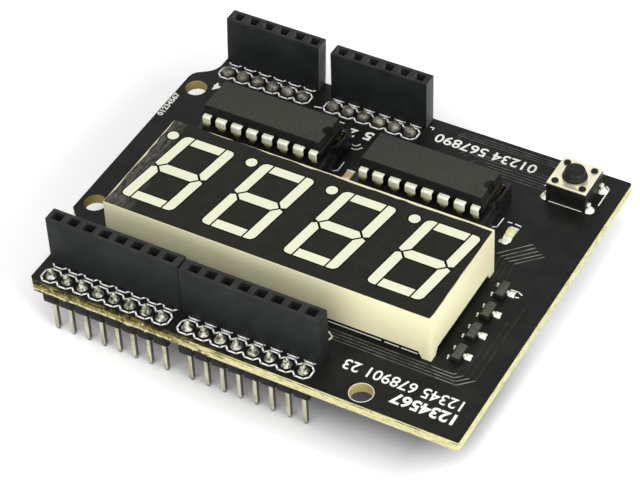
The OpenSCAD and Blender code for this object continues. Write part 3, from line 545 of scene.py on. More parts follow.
looks = {
    "strip": speckledMaterial("stripPlastic", (0.004, 0.004, 0.004), (0.009, 0.009, 0.009), 0.0008, 0.5,
                              specular=0.12),
    # headers: the band at the top is lighter, partly wear and partly a painted highlight, and the right ends
    # of the far rows carry a painted highlight
    "header": toppedMaterial("headerPlastic", ((0.0078, 0.009, 0.0097), (0.0162, 0.0186, 0.0193)),
                             ((0.016, 0.0165, 0.0155), (0.038, 0.039, 0.037)),
                             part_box("near_left_socket")[1].z - 0.09 * mm, 0.003, 0.55, 0.000012, 0.15,
                             (0.075, 0.08, 0.078)),
    "pin": pinMaterial(),
    "contact": speckledMaterial("contactMetal", (0.42, 0.28, 0.09), (0.66, 0.48, 0.2), 0.0008, 0.35,
                                0.000003, metallic=0.9),
    # contacts down in the header wells, darkened with painted shade
    "contactInShade": speckledMaterial("contactInShade", (0.006, 0.005, 0.003), (0.028, 0.021, 0.01), 0.0008,
                                    0.5, 0.000003, metallic=0.3, specular=0.1),
    "brightLead": speckledMaterial("brightLead", (0.70, 0.69, 0.58), (0.88, 0.87, 0.77), 0.0006, 0.4,
                                   0.000005, metallic=0.4),
    "solder": speckledMaterial("solderMetal", (0.04, 0.038, 0.023), (0.54, 0.53, 0.43), 0.0005, 0.36,
                               0.0001, spread=(0.38, 0.62), metallic=0.65, roughRange=(0.26, 0.44)),
    # far joints: a duller finish, and darker than the near ones with painted shade
    "dullShadedSolder": speckledMaterial("dullShadedSolder", (0.055, 0.05, 0.036), (0.33, 0.31, 0.26), 0.0008, 0.5,
                                   0.00005, metallic=0.6, roughRange=(0.42, 0.6)),
    "brightSolder": speckledMaterial("brightSolder", (0.80, 0.79, 0.67), (0.96, 0.95, 0.86), 0.0006,
                                     0.35, 0.00002, metallic=0.2),
    "shell": speckledMaterial("displayPlastic", displayLook["shell"], displayLook["shellDeep"], 0.006,
                              0.5, 0.000006),
    "segment": speckledMaterial("segmentResin", displayLook["segment"], displayLook["segmentLight"],
                                0.0008, 0.45, 0.000004),
    # the black rims round the segments, painted shade for the gap between bar and film
    "outline": speckledMaterial("outlineShade", displayLook["outline"], (0.002, 0.002, 0.002), 0.001, 0.6,
                                specular=0.08),
    "innerBoard": speckledMaterial("innerLaminate", (0.55, 0.47, 0.2), (0.66, 0.6, 0.32), 0.001, 0.7),
    "die": speckledMaterial("lightDie", (0.5, 0.12, 0.07), (0.7, 0.2, 0.1), 0.0002, 0.3),
    # chips: the sides darker than the top with painted shade, and the broken top edge inside the light band
    # as a painted highlight
    "chip": toppedMaterial("chipPlastic", ((0.004, 0.004, 0.0035), (0.011, 0.011, 0.009)),
                           ((0.029, 0.0295, 0.023), (0.056, 0.057, 0.044)),
                           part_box("left_chip_body")[1].z - 0.07 * mm, 0.0003, 0.62, 0.00002, 0.15),
    "flash": speckledMaterial("flashLine", (0.02, 0.02, 0.016), (0.05, 0.05, 0.042), 0.0006, 0.5),
    "chipSocket": speckledMaterial("chipSocketPlastic", (0.005, 0.005, 0.005), (0.010, 0.010, 0.010),
                                   0.0008, 0.35, specular=0.3),
    "switchBlack": speckledMaterial("switchPlastic", (0.004, 0.004, 0.0036), (0.013, 0.0125, 0.0105),
                                    0.0006, 0.45, 0.000015, specular=0.18),
    "switchMetal": speckledMaterial("switchMetal", (0.90, 0.85, 0.60), (0.97, 0.93, 0.73), 0.0016, 0.3,
                                    0.000006, metallic=0.7, roughRange=(0.2, 0.36)),
    # transistors: the sides darker than the top with painted shade
    "transistor": toppedMaterial("transistorPlastic", ((0.006, 0.006, 0.005), (0.013, 0.013, 0.011)),
                                 ((0.030, 0.031, 0.025), (0.095, 0.097, 0.080)),
                                 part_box("transistor_bodies")[1].z - 0.08 * mm, 0.0003, 0.6, 0.000012),
    "ceramic": speckledMaterial("capacitorCeramic", (0.78, 0.48, 0.18), (0.95, 0.72, 0.38), 0.0004, 0.5),
    "lampBase": speckledMaterial("lampBase", (0.74, 0.71, 0.48), (0.84, 0.81, 0.60), 0.0005, 0.6),
    "lampResin": speckledMaterial("lampResin", (0.72, 0.66, 0.20), (0.86, 0.83, 0.50), 0.0005, 0.35),
    "silk": speckledMaterial("silkInk", (0.82, 0.82, 0.77), (0.96, 0.96, 0.92), 0.0005, 0.75,
                              spread=(0.3, 0.5)),
    # tracks under the mask: lighter than the mask, partly the copper's own tone and partly a painted glint,
    # strongest on the bright ones and least on the faint ones
    "trace": speckledMaterial("maskOverCopper", (0.05, 0.05, 0.046), (0.17, 0.168, 0.158), 0.0014, 0.5,
                               specular=0.1),
    "brightTrace": speckledMaterial("maskOverCopperGlint", (0.12, 0.117, 0.105), (0.36, 0.355, 0.33),
                                    0.0014, 0.5, specular=0.1),
    "faintTrace": speckledMaterial("maskOverCopperFaint", (0.018, 0.018, 0.017), (0.05, 0.049, 0.046),
                                   0.0014, 0.5, specular=0.1),
    "tinned": speckledMaterial("tinnedCopper", (0.70, 0.69, 0.62), (0.85, 0.84, 0.79), 0.0006, 0.35,
                               0.00001, metallic=0.6),
}
looks["lead"] = leadMaterial()
looks["board"] = boardMaterial()
print("materials made:", len(looks))


# board, pins and strips: the edges broken by so many millimetres

rowPiece = {"pinEdge": 0.05, "stripEdge": 0.07}


def titled(row):
    return row.title().replace("_", "")


paintNode("circuit_board", looks["board"])
for row in rowCounts:
    dressNode(row + "_pins", "pin_metal", "pin", rowPiece["pinEdge"], name=titled(row) + "Pins")
    dressNode(row + "_pin_strip", "strip_plastic", "strip", rowPiece["stripEdge"], name=titled(row) + "Strip")
    paintNode(row + "_socket_contacts", looks["contactInShade"])
print("pins and strips done")


# socket rows: a grid of cells, each inset for its mouth and pushed in for its well

socketRow = {"mouth": 0.42, "funnel": 0.25, "throat": 0.88, "well": 6.6, "edge": 0.1, "over": 0.2}
# how far each row reaches further at its left and right end, and leans to the right at its top
rowFit = {"near_left": (-0.1, 0.4, 0.0), "near_right": (0.45, 0.22, 0.0), "far_left": (-0.1, 0.0, 0.4),
          "far_right": (-0.2, 0.26, 0.12)}


def chosenFaces(piece):
    return [face.index for face in piece.data.polygons if face.select]


def pushIn(piece, faces, depth):
    pickFaces(piece, lambda face: face.index in faces)
    bpy.ops.mesh.extrude_faces_move(TRANSFORM_OT_shrink_fatten={"value": -depth * mm})
    leaveEdit()


def socketHousing(row):
    size = socketRow
    low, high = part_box(row + "_socket")
    length, depth, height = high - low
    middleX = (low.x + high.x) / 2
    cells = length - 2 * size["over"] * mm
    deselectAll()
    bpy.ops.mesh.primitive_grid_add(x_subdivisions=rowCounts[row], y_subdivisions=1, size=1,
                                    location=(middleX, (low.y + high.y) / 2, high.z))
    bpy.context.object.scale = (cells, depth, 1)
    piece = placed(titled(row) + "Socket")
    pickFaces(piece, lambda face: True)
    bpy.ops.mesh.inset(thickness=size["mouth"] * mm, use_individual=True)
    leaveEdit()
    pushIn(piece, chosenFaces(piece), size["funnel"])
    # each well narrows to its throat
    for face in piece.data.polygons:
        if face.select:
            middle = face.center.copy()
            for index in face.vertices:
                corner = piece.data.vertices[index].co
                corner.x = middle.x + (corner.x - middle.x) * size["throat"]
                corner.y = middle.y + (corner.y - middle.y) * size["throat"]
    pushIn(piece, chosenFaces(piece), size["well"])
    # the two ends reach a little past the last cells, then the outer walls drop from the rim
    leftFit, rightFit, lean = rowFit[row]
    for corner in piece.data.vertices:
        side = corner.co.x - middleX
        if abs(side) > cells / 2 - 0.01 * mm:
            corner.co.x += (size["over"] + rightFit) * mm if side > 0 else -(size["over"] + leftFit) * mm
    take(piece)
    bpy.ops.object.mode_set(mode="EDIT")
    bpy.ops.mesh.select_mode(type="EDGE")
    bpy.ops.mesh.select_all(action="DESELECT")
    bpy.ops.mesh.select_non_manifold(extend=False, use_wire=False, use_multi_face=False,
                                     use_non_contiguous=False, use_verts=False)
    bpy.ops.mesh.extrude_edges_move(TRANSFORM_OT_translate={"value": (0, 0, -height)})
    bpy.ops.mesh.edge_face_add()
    leaveEdit()
    for corner in piece.data.vertices:
        corner.co.x += lean * mm * (corner.co.z - low.z) / height
    faceOut(piece)
    softenEdges(piece, size["edge"] * mm, 2, 50)
    finishPiece(piece, "board", "header_plastic", looks["header"], row + "_socket")


for row in rowCounts:
    socketHousing(row)
print("socket rows done")


# solder joints: a circle extruded up and drawn in ring by ring, each ring a radius and a height

jointForms = {
    "cone": [(0.82, 0.0), (0.76, 0.10), (0.60, 0.3), (0.48, 0.6), (0.36, 0.95), (0.24, 1.28), (0.10, 1.5)],
    "dome": [(0.92, 0.0), (0.93, 0.2), (0.86, 0.48), (0.70, 0.74), (0.48, 0.92), (0.22, 1.02)],
    "under": [(0.68, 0.0), (0.62, 0.15), (0.5, 0.4), (0.42, 0.7), (0.4, 0.95), (0.3, 1.04)],
}
# how unlike one another the joints are in width, height, lean and roundness
jointSpread = {"width": 0.07, "height": 0.021, "lean": 0.07, "oval": 0.04}


def turnedJoint(name, rings, sides=20):
    deselectAll()
    radius, level = rings[0]
    bpy.ops.mesh.primitive_circle_add(vertices=sides, radius=radius * mm, fill_type="NGON",
                                      location=(0, 0, level * mm))
    piece = placed(name)
    editAll(piece)
    for nextRadius, nextLevel in rings[1:]:
        bpy.ops.mesh.extrude_region_move(
            TRANSFORM_OT_translate={"value": (0, 0, (nextLevel - level) * mm)})
        bpy.ops.transform.resize(value=(nextRadius / radius, nextRadius / radius, 1),
                                 center_override=(0, 0, nextLevel * mm))
        radius, level = nextRadius, nextLevel
    leaveEdit()
    faceOut(piece)
    smoothUpTo(piece, 60)
    return piece


def jointRow(name, node, form, places, look="solder"):
    # those under the board hang from it
    spread = jointSpread
    hangs = form == "under"
    pattern = turnedJoint(name + "Pattern", jointForms[form])
    copies = []
    for index, place in enumerate(places):
        joint = copyOf(pattern, f"{name}{index}")
        wide = 1 + rng.uniform(-spread["width"], spread["width"])
        tall = 1 + rng.uniform(-spread["width"], spread["height"])
        lean = Matrix.Identity(4)
        lean[0][2] = rng.uniform(-spread["lean"], spread["lean"])
        lean[1][2] = rng.uniform(-spread["lean"], spread["lean"])
        turn = Matrix.Rotation(rng.uniform(0, 6.28), 4, "Z")
        deep = wide * (1 + rng.uniform(-spread["oval"], spread["oval"]))
        size = Matrix.Diagonal((wide, deep, -tall if hangs else tall, 1))
        level = underZ if hangs else topZ
        foot = Matrix.Translation((place.x, place.y, level))
        joint.data.transform(foot @ size @ lean @ turn)
        if hangs:
            joint.data.flip_normals()
        copies.append(joint)
    bpy.data.objects.remove(pattern)
    finishPiece(joined(copies, name), "board", "solder", looks[look], node)


# where the tails of the display and of the chips' sockets come through, in millimetres
tailFit = {"displayPin": 0.5, "chipTail": 0.62, "chipRow": 3.81}
tailPlaces = [place for row, count in rowCounts.items()
              for place in rowCentres(row + "_socket_contacts", count, contactWidth)]
pinsLow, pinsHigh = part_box("display_pins")
halfPin = tailFit["displayPin"] * mm / 2
displayTails = [Vector((place.x, y, 0)) for place in rowCentres("display_pins", 6, tailFit["displayPin"])
                for y in (pinsLow.y + halfPin, pinsHigh.y - halfPin)]
chipTails = []
for side in ("left", "right"):
    leadsLow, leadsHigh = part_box(side + "_chip_leads")
    middleY, rowGap = (leadsLow.y + leadsHigh.y) / 2, tailFit["chipRow"] * mm
    for place in rowCentres(side + "_chip_socket_contacts", 8, tailFit["chipTail"]):
        chipTails += [Vector((place.x, middleY - rowGap, 0)), Vector((place.x, middleY + rowGap, 0))]
jointRow("nearPinSolder", "near_pin_solder", "cone", pinPlaces["near_left"] + pinPlaces["near_right"])
jointRow("farPinSolder", "far_pin_solder", "dome", pinPlaces["far_left"] + pinPlaces["far_right"],
         "dullShadedSolder")
jointRow("socketRowSolder", "socket_row_solder", "under", tailPlaces)
jointRow("displaySolder", "display_solder", "under", displayTails)
jointRow("chipSocketSolder", "chip_socket_solder", "under", chipTails)
print("solder joints done")


# display: housing with corner feet, film, black outlines that are painted shade, and pale segments

display = {"edge": 0.12, "outline": 0.2, "step": 0.012, "sink": 0.1}
# round, tip, nose and shoulder are shares of the bar's thickness
digit = {"pitch": 12.7, "shift": 0.34, "halfWide": 4.1, "halfHigh": 7.1, "bar": 1.5, "gap": 0.25,
         "slant": 8.0, "point": 1.65, "pointPlace": (-4.75, 6.4), "round": 0.55, "tip": 0.42, "nose": 0.6,
         "shoulder": 0.2, "middle": 0.54}
dressNode("display_shell", "display_plastic", "shell", display["edge"], 3, 40, "displayHousing")
shellLow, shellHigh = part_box("display_shell")
displayMid = (shellLow + shellHigh) / 2
filmLow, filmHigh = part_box("display_face_film")


def slanted(u, v):
    return (u + v * math.tan(math.radians(digit["slant"])), v)


def uprightBar(sideX, sideY):
    d = digit
    w, h, t, g = d["halfWide"], d["halfHigh"], d["bar"], d["gap"]
    points = [(w - t, g / 2 + d["nose"] * t), (w - d["tip"] * t, g / 2), (w, g / 2 + d["shoulder"] * t)]
    for a in (math.radians(k * 22.5) for k in range(5)):
        points.append((w - d["round"] * t * (1 - math.cos(a)), h - d["round"] * t * (1 - math.sin(a))))
    points.append((w - t, h))
    return [(u * sideX, v * sideY) for u, v in points]


def levelBar(side):
    d = digit
    reach = d["halfWide"] - d["bar"] - d["gap"]
    inner, outer = side * (d["halfHigh"] - d["bar"]), side * d["halfHigh"]
    return [(-reach, inner), (reach, inner), (reach, outer), (-reach, outer)]


def middleBar():
    d = digit
    tip = d["halfWide"] - d["tip"] * d["bar"] - 1.2 * d["gap"]
    flat = d["halfWide"] - d["bar"] - 0.9 * d["gap"]
    rise = d["middle"] * d["bar"]
    return [(-tip, 0), (-flat, -rise), (flat, -rise), (tip, 0), (flat, rise), (-flat, rise)]


def pointDot():
    middle, radius = digit["pointPlace"], digit["point"] / 2
    return [(middle[0] + radius * math.cos(a * math.pi / 12), middle[1] + radius * math.sin(a * math.pi / 12))
            for a in range(24)]


def runsLeft(points):
    # whether a closed outline runs anticlockwise
    return sum(a[0] * b[1] - b[0] * a[1] for a, b in zip(points, points[1:] + points[:1])) > 0


def flatPlate(name, points, z0, z1):
    # a filled circle with its corners moved to the points, then extruded
    if not runsLeft(points):
        points = points[::-1]
    deselectAll()
    bpy.ops.mesh.primitive_circle_add(vertices=len(points), radius=1, fill_type="NGON")
    piece = named(name)
    for corner, (x, y) in zip(piece.data.vertices, points):
        corner.co = (x, y, z0)
    editAll(piece)
    bpy.ops.mesh.extrude_region_move(TRANSFORM_OT_translate={"value": (0, 0, z1 - z0)})
    leaveEdit()
    faceOut(piece)
    return piece


def grown(points, by):
    # every side of a closed outline moved outwards
    turn = 1 if runsLeft(points) else -1
    result = []
    for before, here, after in zip(points[-1:] + points[:-1], points, points[1:] + points[:1]):
        a = Vector((here[0] - before[0], here[1] - before[1])).normalized()
        b = Vector((after[0] - here[0], after[1] - here[1])).normalized()
        outA, outB = Vector((a.y, -a.x)) * turn, Vector((b.y, -b.x)) * turn
        mid = (outA + outB).normalized()
        reach = by / max(0.4, mid.dot(outA))
        result.append((here[0] + mid.x * reach, here[1] + mid.y * reach))
    return result


def digitPlates():
    d = digit
    bars = [[slanted(u, v) for u, v in bar] for bar in
            [uprightBar(x, y) for x in (-1, 1) for y in (-1, 1)] + [levelBar(1), levelBar(-1), middleBar()]]
    bars.append(pointDot())
    base = filmHigh.z
    step = display["step"] * mm
    pale, black = [], []
    for i in range(4):
        middle = displayMid.x + (d["shift"] + (i - 1.5) * d["pitch"]) * mm
        for bar in bars:
            place, around = [[(middle + u * mm, displayMid.y + v * mm) for u, v in outline]
                             for outline in (bar, grown(bar, display["outline"]))]
            pale.append(flatPlate("bar", place, shellHigh.z - display["sink"] * mm, base - 0.2 * step))
            # each bar's black rim, a painted shade for the gap between bar and film, sits just under the film
            black.append(flatPlate("edge", around, base - 4 * step, base - step))
    columns = roundedCopy("display_light_guides", "columns", 0.01, 1, 60)
    finishPiece(joined(pale + [columns], "segments"), "board", "clear_resin", looks["segment"],
                "display_light_guides")
    finishPiece(joined(black, "segmentOutlines"), "board", "face_film", looks["outline"])


# how far the film stays inside each rim, how far its edge wanders, and the steps along its sides
film = {"farRim": 0.38, "leftRim": 0.0, "rightRim": -0.04, "nearRim": -0.06, "wander": 0.1, "nick": 0.35,
        "rightSteps": 15, "farSteps": 45, "leftSteps": 14}


def faceFilm():
    # it stops short of the far rim towards the right and covers the left one
    size = film
    left, right = filmLow.x + size["leftRim"] * mm, filmHigh.x - size["rightRim"] * mm
    nick, wander = size["nick"] * mm, size["wander"] * mm
    near = filmLow.y + size["nearRim"] * mm
    outline = [(left, near), (right - nick, near), (right - 0.3 * nick, near + 0.25 * nick)]
    for i in range(1, size["rightSteps"]):
        far = filmLow.y + (filmHigh.y - filmLow.y) * i / size["rightSteps"]
        outline.append((right - rng.uniform(0, wander) * 0.6, far))
    for i in range(size["farSteps"] + 1):
        along = i / size["farSteps"]
        rim = size["farRim"] * mm * min(1, 1.6 - 1.7 * along)
        outline.append((right + (left - right) * along, filmHigh.y - rim + rng.uniform(-wander, wander)))
    for i in range(1, size["leftSteps"]):
        back = filmHigh.y + (filmLow.y - filmHigh.y) * i / size["leftSteps"]
        outline.append((left + rng.uniform(0, 3 * wander), back))
    piece = flatPlate("faceFilm", outline, filmLow.z, filmHigh.z - 2 * display["step"] * mm)
    finishPiece(piece, "board", "face_film", filmMaterial(filmLow, filmHigh), "display_face_film")


digitPlates()
faceFilm()
paintNode("display_led_board", looks["innerBoard"])
paintNode("display_led_dies", looks["die"])
paintNode("display_pins", looks["pin"])
print("display done")


# chips: a block split at its parting line, drawn in above and below, with a notch and a dimple

# places in millimetres from the body's right end, its middle and its top
chip = {"draft": 0.28, "edge": 0.1, "notch": 0.85, "notchIn": 0.35, "notchTall": 4, "dimple": 0.75,
        "dimplePlace": (-2.2, -1.7, -0.05), "dimpleTall": 1, "leadEdge": 0.04}


def chipBody(side):
    size = chip
    low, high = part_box(side + "_chip_body")
    middle = (low + high) / 2
    piece = newBox(side + "ChipBody", low, high)
    editAll(piece)
    bpy.ops.mesh.bisect(plane_co=(0, 0, middle.z), plane_no=(0, 0, 1))
    leaveEdit()
    for corner in piece.data.vertices:
        if abs(corner.co.z - middle.z) > 0.2 * mm:
            corner.co.x -= math.copysign(size["draft"] * mm, corner.co.x - middle.x)
            corner.co.y -= math.copysign(size["draft"] * mm, corner.co.y - middle.y)
    right, far, up = size["dimplePlace"]
    cutAway(piece, newDisc("notch", (high.x - size["notchIn"] * mm, middle.y, middle.z),
                           size["notch"] * mm, size["notchTall"] * mm))
    cutAway(piece, newDisc("dimple", (high.x + right * mm, middle.y + far * mm, high.z + up * mm),
                           size["dimple"] * mm, size["dimpleTall"] * mm))
    softenEdges(piece, size["edge"] * mm, 2, 25)
    finishPiece(piece, "board", "chip_plastic", looks["chip"], side + "_chip_body")


flash = {"half": 0.04, "in": 0.05, "out": 0.04, "near": 0.1, "far": 0.9, "edge": 0.02}


def flashLine(side):
    # the mould's parting line, proud of the body's right end
    size = flash
    low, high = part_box(side + "_chip_body")
    level, half = (low.z + high.z) / 2, size["half"] * mm
    piece = newBox(side + "FlashLine", (high.x - size["in"] * mm, low.y + size["near"] * mm, level - half),
                   (high.x + size["out"] * mm, high.y - size["far"] * mm, level + half))
    softenEdges(piece, size["edge"] * mm, 1)
    finishPiece(piece, "board", "chip_plastic", looks["flash"])


# the opening's corners, in millimetres from the socket's right far end
railOpening = {"low": (-1.6, -2.9, 0.8), "high": (-0.35, -0.9, 1), "edge": 0.1}


def chipSocket(side):
    # the far rail is open at its right end, where its last contact shows
    size = railOpening
    piece = roundedCopy(side + "_chip_socket", side + "ChipSocket", size["edge"], 2, 40)
    low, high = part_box(side + "_chip_socket")
    cutAway(piece, newBox("opening", Vector((high.x, high.y, low.z)) + Vector(size["low"]) * mm,
                          high + Vector(size["high"]) * mm))
    smoothUpTo(piece, 40)
    finishPiece(piece, "board", "chip_socket_plastic", looks["chipSocket"], side + "_chip_socket")


for side in ("left", "right"):
    chipBody(side)
    flashLine(side)
    chipSocket(side)
    dressNode(side + "_chip_leads", "lead_metal", "lead", chip["leadEdge"], 2, 50)
    paintNode(side + "_chip_socket_contacts", looks["contact"])
print("chips done")


# push button and small parts

dressNode("switch_base", "switch_plastic", "switchBlack", 0.08)
dressNode("switch_cover", "switch_metal", "switchMetal", 0.05)
dressNode("switch_plunger", "switch_plastic", "switchBlack", 0.08, 3, 35, body="button")
dressNode("switch_legs", "lead_metal", "brightLead", 0.05)
paintNode("switch_dome", looks["contact"])
paintNode("switch_solder", looks["brightSolder"])
dressNode("transistor_bodies", "transistor_plastic", "transistor", 0.07)
paintNode("transistor_leads", smallLeadMaterial())
smallPads = {"right": 5.62, "far": 27.6, "step": 4.37, "wide": 0.95, "deep": 1.05, "tall": 0.2, "edge": 0.14,
             "dotRight": 8.0, "dotFar": (-0.85, 1.05), "dot": 0.17, "dotTall": 0.32, "dotEdge": 0.1}


def padPlaces():
    # a pad at each transistor's right leg and a dot at each of its left legs
    size = smallPads
    half = Vector((size["wide"], size["deep"], 0)) * mm / 2
    pads = []
    for i in range(4):
        far = size["far"] + i * size["step"]
        middle = spot(size["right"], far)
        pad = newBox("pad", middle - half, middle + half + Vector((0, 0, size["tall"] * mm)))
        softenEdges(pad, size["edge"] * mm, 3)
        pads.append(pad)
        for shift in size["dotFar"]:
            dot = newDisc("dot", spot(size["dotRight"], far + shift), size["dot"] * mm,
                          size["dotTall"] * mm, 12)
            softenEdges(dot, size["dotEdge"] * mm)
            pads.append(dot)
    finishPiece(joined(pads, "transistorPads"), "board", "solder", looks["brightSolder"])


padPlaces()
lampPad = {"place": (10.87, 18.75), "radius": 0.62, "tall": 0.34, "edge": 0.2, "tail": (11.75, 18.99),
           "tailWide": 0.4, "tailEdge": 0.08}


def lampJoint():
    size = lampPad
    middle, end = spot(*size["place"]), spot(*size["tail"])
    dome = newDisc("lampDome", middle, size["radius"] * mm, size["tall"] * mm, 20)
    softenEdges(dome, size["edge"] * mm, 3)
    half = Vector((0, size["tailWide"] / 2 * mm, 0))
    tail = newBox("lampTail", end - half, middle + half + Vector((0, 0, size["tall"] / 2 * mm)))
    softenEdges(tail, size["tailEdge"] * mm)
    finishPiece(joined([dome, tail], "lampPad"), "board", "solder", looks["brightSolder"])


lampJoint()
dressNode("capacitor_body", "capacitor_ceramic", "ceramic", 0.06)
dressNode("capacitor_ends", "solder", "tinned", 0.01)
dressNode("lamp_base", "lamp_base_laminate", "lampBase", 0.04)
dressNode("lamp_lens", "lamp_resin", "lampResin", 0.08)
paintNode("lamp_ends", looks["tinned"])
paintNode("small_part_solder", smallLeadMaterial())
print("button and small parts done")


# print and copper: strips a few hundredths of a millimetre thick

ink = {"margin": 0.3, "line": 0.22, "fine": 0.17, "thick": 0.03, "half": 1.27, "peak": 1.27, "valley": 0.635,
       "shifts": {"far_left": 0.2, "near_left": 0.08}, "track": 0.13, "trackThick": 0.018, "overlap": 0.8}
strokePattern = newBox("strokePattern", (-0.5, -0.5, 0), (0.5, 0.5, 1))


def stroke(start, end, width, thick):
    # one straight strip of ink or copper from start to end
    run = Vector((end[0] - start[0], end[1] - start[1]))
    piece = copyOf(strokePattern, "stroke")
    size = Matrix.Diagonal((run.length + width * ink["overlap"], width, thick, 1))
    turn = Matrix.Rotation(math.atan2(run.y, run.x), 4, "Z")
    middle = Vector(((start[0] + end[0]) / 2, (start[1] + end[1]) / 2, topZ))
    piece.data.transform(Matrix.Translation(middle) @ turn @ size)
    return piece


def line(points, width=ink["line"], thick=ink["thick"], closed=False):
    ends = points[1:] + (points[:1] if closed else [])
    return [stroke(a, b, width * mm, thick * mm) for a, b in zip(points, ends)]


def spots(*pairs):
    return [spot(right, far) for right, far in pairs]


def pinChain(places, shiftY=0.0):
    # an eight-sided outline round every pin, run together along the row
    half, peak, valley, margin = [ink[key] * mm for key in ("half", "peak", "valley", "margin")]
    y = places[0].y + shiftY
    upper, lower = [], []
    for place in places:
        for dx, reach in ((-half, valley), (-half / 2, peak), (half / 2, peak)):
            upper.append((place.x + dx, min(y + reach, boardHigh.y - margin)))
            lower.append((place.x + dx, y - reach))
    last = places[-1].x + half
    upper.append((last, y + valley))
    lower.append((last, y - valley))
    return line(upper + lower[::-1], closed=True)


printedMarks = [
    [(13.1, 14.6), (13.18, 16.5), (13.75, 16.8)], [(38.55, 14.25), (38.55, 16.1), (39.15, 16.55)],
    [(9.0, 8.5), (4.1, 8.5)], [(2.4, 6.26), (2.4, 2.6), (3.0, 2.2)], [(10.9, 5.9), (10.4, 5.4)],
    [(25.3, 43.12), (17.4, 43.12)], [(16.76, 43.12), (14.73, 43.12)], [(14.27, 43.12), (11.95, 43.12)],
    [(24.3, 44.87), (23.9, 45.12), (23.45, 45.45), (23.54, 46.14)], [(12.2, 14.95), (11.66, 14.9)],
    [(11.09, 14.87), (10.24, 15.0)], [(6.07, 26.78), (4.93, 26.78), (4.31, 27.1)],
    [(4.89, 27.83), (4.53, 27.73)], [(30.94, 1.9), (30.36, 1.84), (30.42, 2.3)],
    [(46.2, 7.15), (44.9, 7.0)], [(43.3, 6.75), (42.6, 6.75)], [(48.2, 5.4), (47.2, 5.2)],
    [(39.3, 10.3), (39.0, 10.45), (38.6, 10.3), (38.3, 9.8)],
    [(39.0, 11.1), (38.6, 11.15), (38.1, 10.9), (37.7, 10.35)],
]
# words, middle, height, length, weight, turn
printedNumbers = [
    ("01234 567890", (21.3, 3.4), 1.85, 16.0, 0.012, 180),
    ("12345 678901 23", (10.9, 48.85), 1.85, 17.4, 0.008, 180),
    ("1234567", (6.5, 51.4), 2.0, 9.2, 0.03, 180),
    ("01234567", (67.75, 14.5), 0.95, 5.4, 0.03, 90), ("4", (63.4, 7.85), 1.6, 1.2, 0.03, 180),
    ("2", (40.5, 8.0), 1.8, 1.2, 0.02, 180), ("5", (38.1, 7.6), 1.8, 1.3, 0.03, 180),
]


def numberPlate(words, middle, height, length, weight, turn):
    # plain numbers, most of them read from the far side of the board
    deselectAll()
    bpy.ops.object.text_add(location=(0, 0, 0))
    text = bpy.context.object
    text.data.body = words
    text.data.align_x = "CENTER"
    text.data.align_y = "CENTER"
    text.data.size = 1
    text.data.extrude = 0.5
    text.data.offset = weight
    text.data.resolution_u = 3
    bpy.ops.object.convert(target="MESH")
    piece = bpy.context.object
    corners = [corner.co for corner in piece.data.vertices]
    wide = max(c.x for c in corners) - min(c.x for c in corners)
    tall = max(c.y for c in corners) - min(c.y for c in corners)
    size = Matrix.Diagonal((length * mm / wide, height * mm / tall, ink["thick"] * mm, 1))
    place = spot(*middle, ink["thick"] / 2)
    piece.data.transform(Matrix.Translation(place) @ Matrix.Rotation(math.radians(turn), 4, "Z") @ size)
    return piece


# the ring round the near hole, drawn in so many strokes
holeInk = {"place": (15.24, 52.64), "radius": 1.68, "width": 0.11, "steps": 32}


def holeRing():
    size = holeInk
    right, far = size["place"]
    turns = [math.tau * i / size["steps"] for i in range(size["steps"])]
    ring = [spot(right + size["radius"] * math.cos(a), far + size["radius"] * math.sin(a)) for a in turns]
    return line(ring, size["width"], closed=True)


def printing():
    strips = []
    for row, places in pinPlaces.items():
        low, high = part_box(row.split("_")[0] + "_right_socket")
        shift = (low.y + high.y) / 2 - places[0].y + ink["shifts"].get(row, 0) * mm
        strips += pinChain(places) + pinChain(places, shift)
    for mark in printedMarks:
        strips += line(spots(*mark), ink["fine"])
    strips += holeRing()
    strips += [numberPlate(*row) for row in printedNumbers]
    finishPiece(joined(strips, "printedLines"), "board", "lamp_base_laminate", looks["silk"])


plainTracks = [
    [(26.5, 1.75), (25.7, 0.8), (9.6, 0.8)], [(26.4, 2.2), (25.5, 1.3), (9.6, 1.3)],
    [(25.5, 1.75), (9.6, 1.75)], [(24.6, 5.0), (23.6, 4.05), (9.6, 4.05)],
    [(24.0, 5.4), (23.2, 4.6), (9.6, 4.6)], [(22.4, 6.0), (21.6, 5.2), (9.6, 5.2)],
    [(20.6, 6.7), (19.9, 5.8), (9.6, 5.8)], [(20.0, 6.9), (19.3, 6.35), (9.8, 6.35)],
    [(17.7, 6.9), (10.2, 6.9)],
]
brightTracks = [
    [(7.26, 17.51), (10.92, 21.3)], [(6.59, 17.94), (10.19, 21.61)], [(6.02, 18.41), (9.49, 21.85)],
    [(5.34, 18.75), (8.75, 22.06)], [(4.79, 19.06), (7.81, 22.09)],
]
# each bright track by the lamp, lit with a painted glint, goes on faintly: how far aside and down it bends,
# and where it ends
onward = {"aside": 0.35, "down": 4, "end": 26.5}
faintTracks = [[(right, far), (right - onward["aside"], far + onward["down"]),
                (right - onward["aside"], onward["end"])] for right, far in [run[-1] for run in brightTracks]]
# four tracks turn the near right corner: the first one's measures and the step to the next
bend = {"far": (44.3, 0.53), "turn": (6.0, -0.42), "up": (5.67, -0.92), "start": 30, "shine": 3.2,
        "ends": (42.6, 36, 32.5, 29)}
for step, end in enumerate(bend["ends"]):
    far, turn, up = [first + more * step for first, more in (bend["far"], bend["turn"], bend["up"])]
    shine, corner = (turn + bend["shine"], far - 0.02), (up, far - (turn - up))
    plainTracks.append([(bend["start"], far - 0.15), shine])
    # round the turn the track carries the painted glint
    brightTracks.append([shine, (turn + 0.1, far), corner])
    faintTracks.append([corner, (up, end)])


def trackPiece(name, runs, look):
    strips = []
    for run in runs:
        strips += line(spots(*run), ink["track"], ink["trackThick"])
    finishPiece(joined(strips, name), "board", "board_laminate", looks[look])


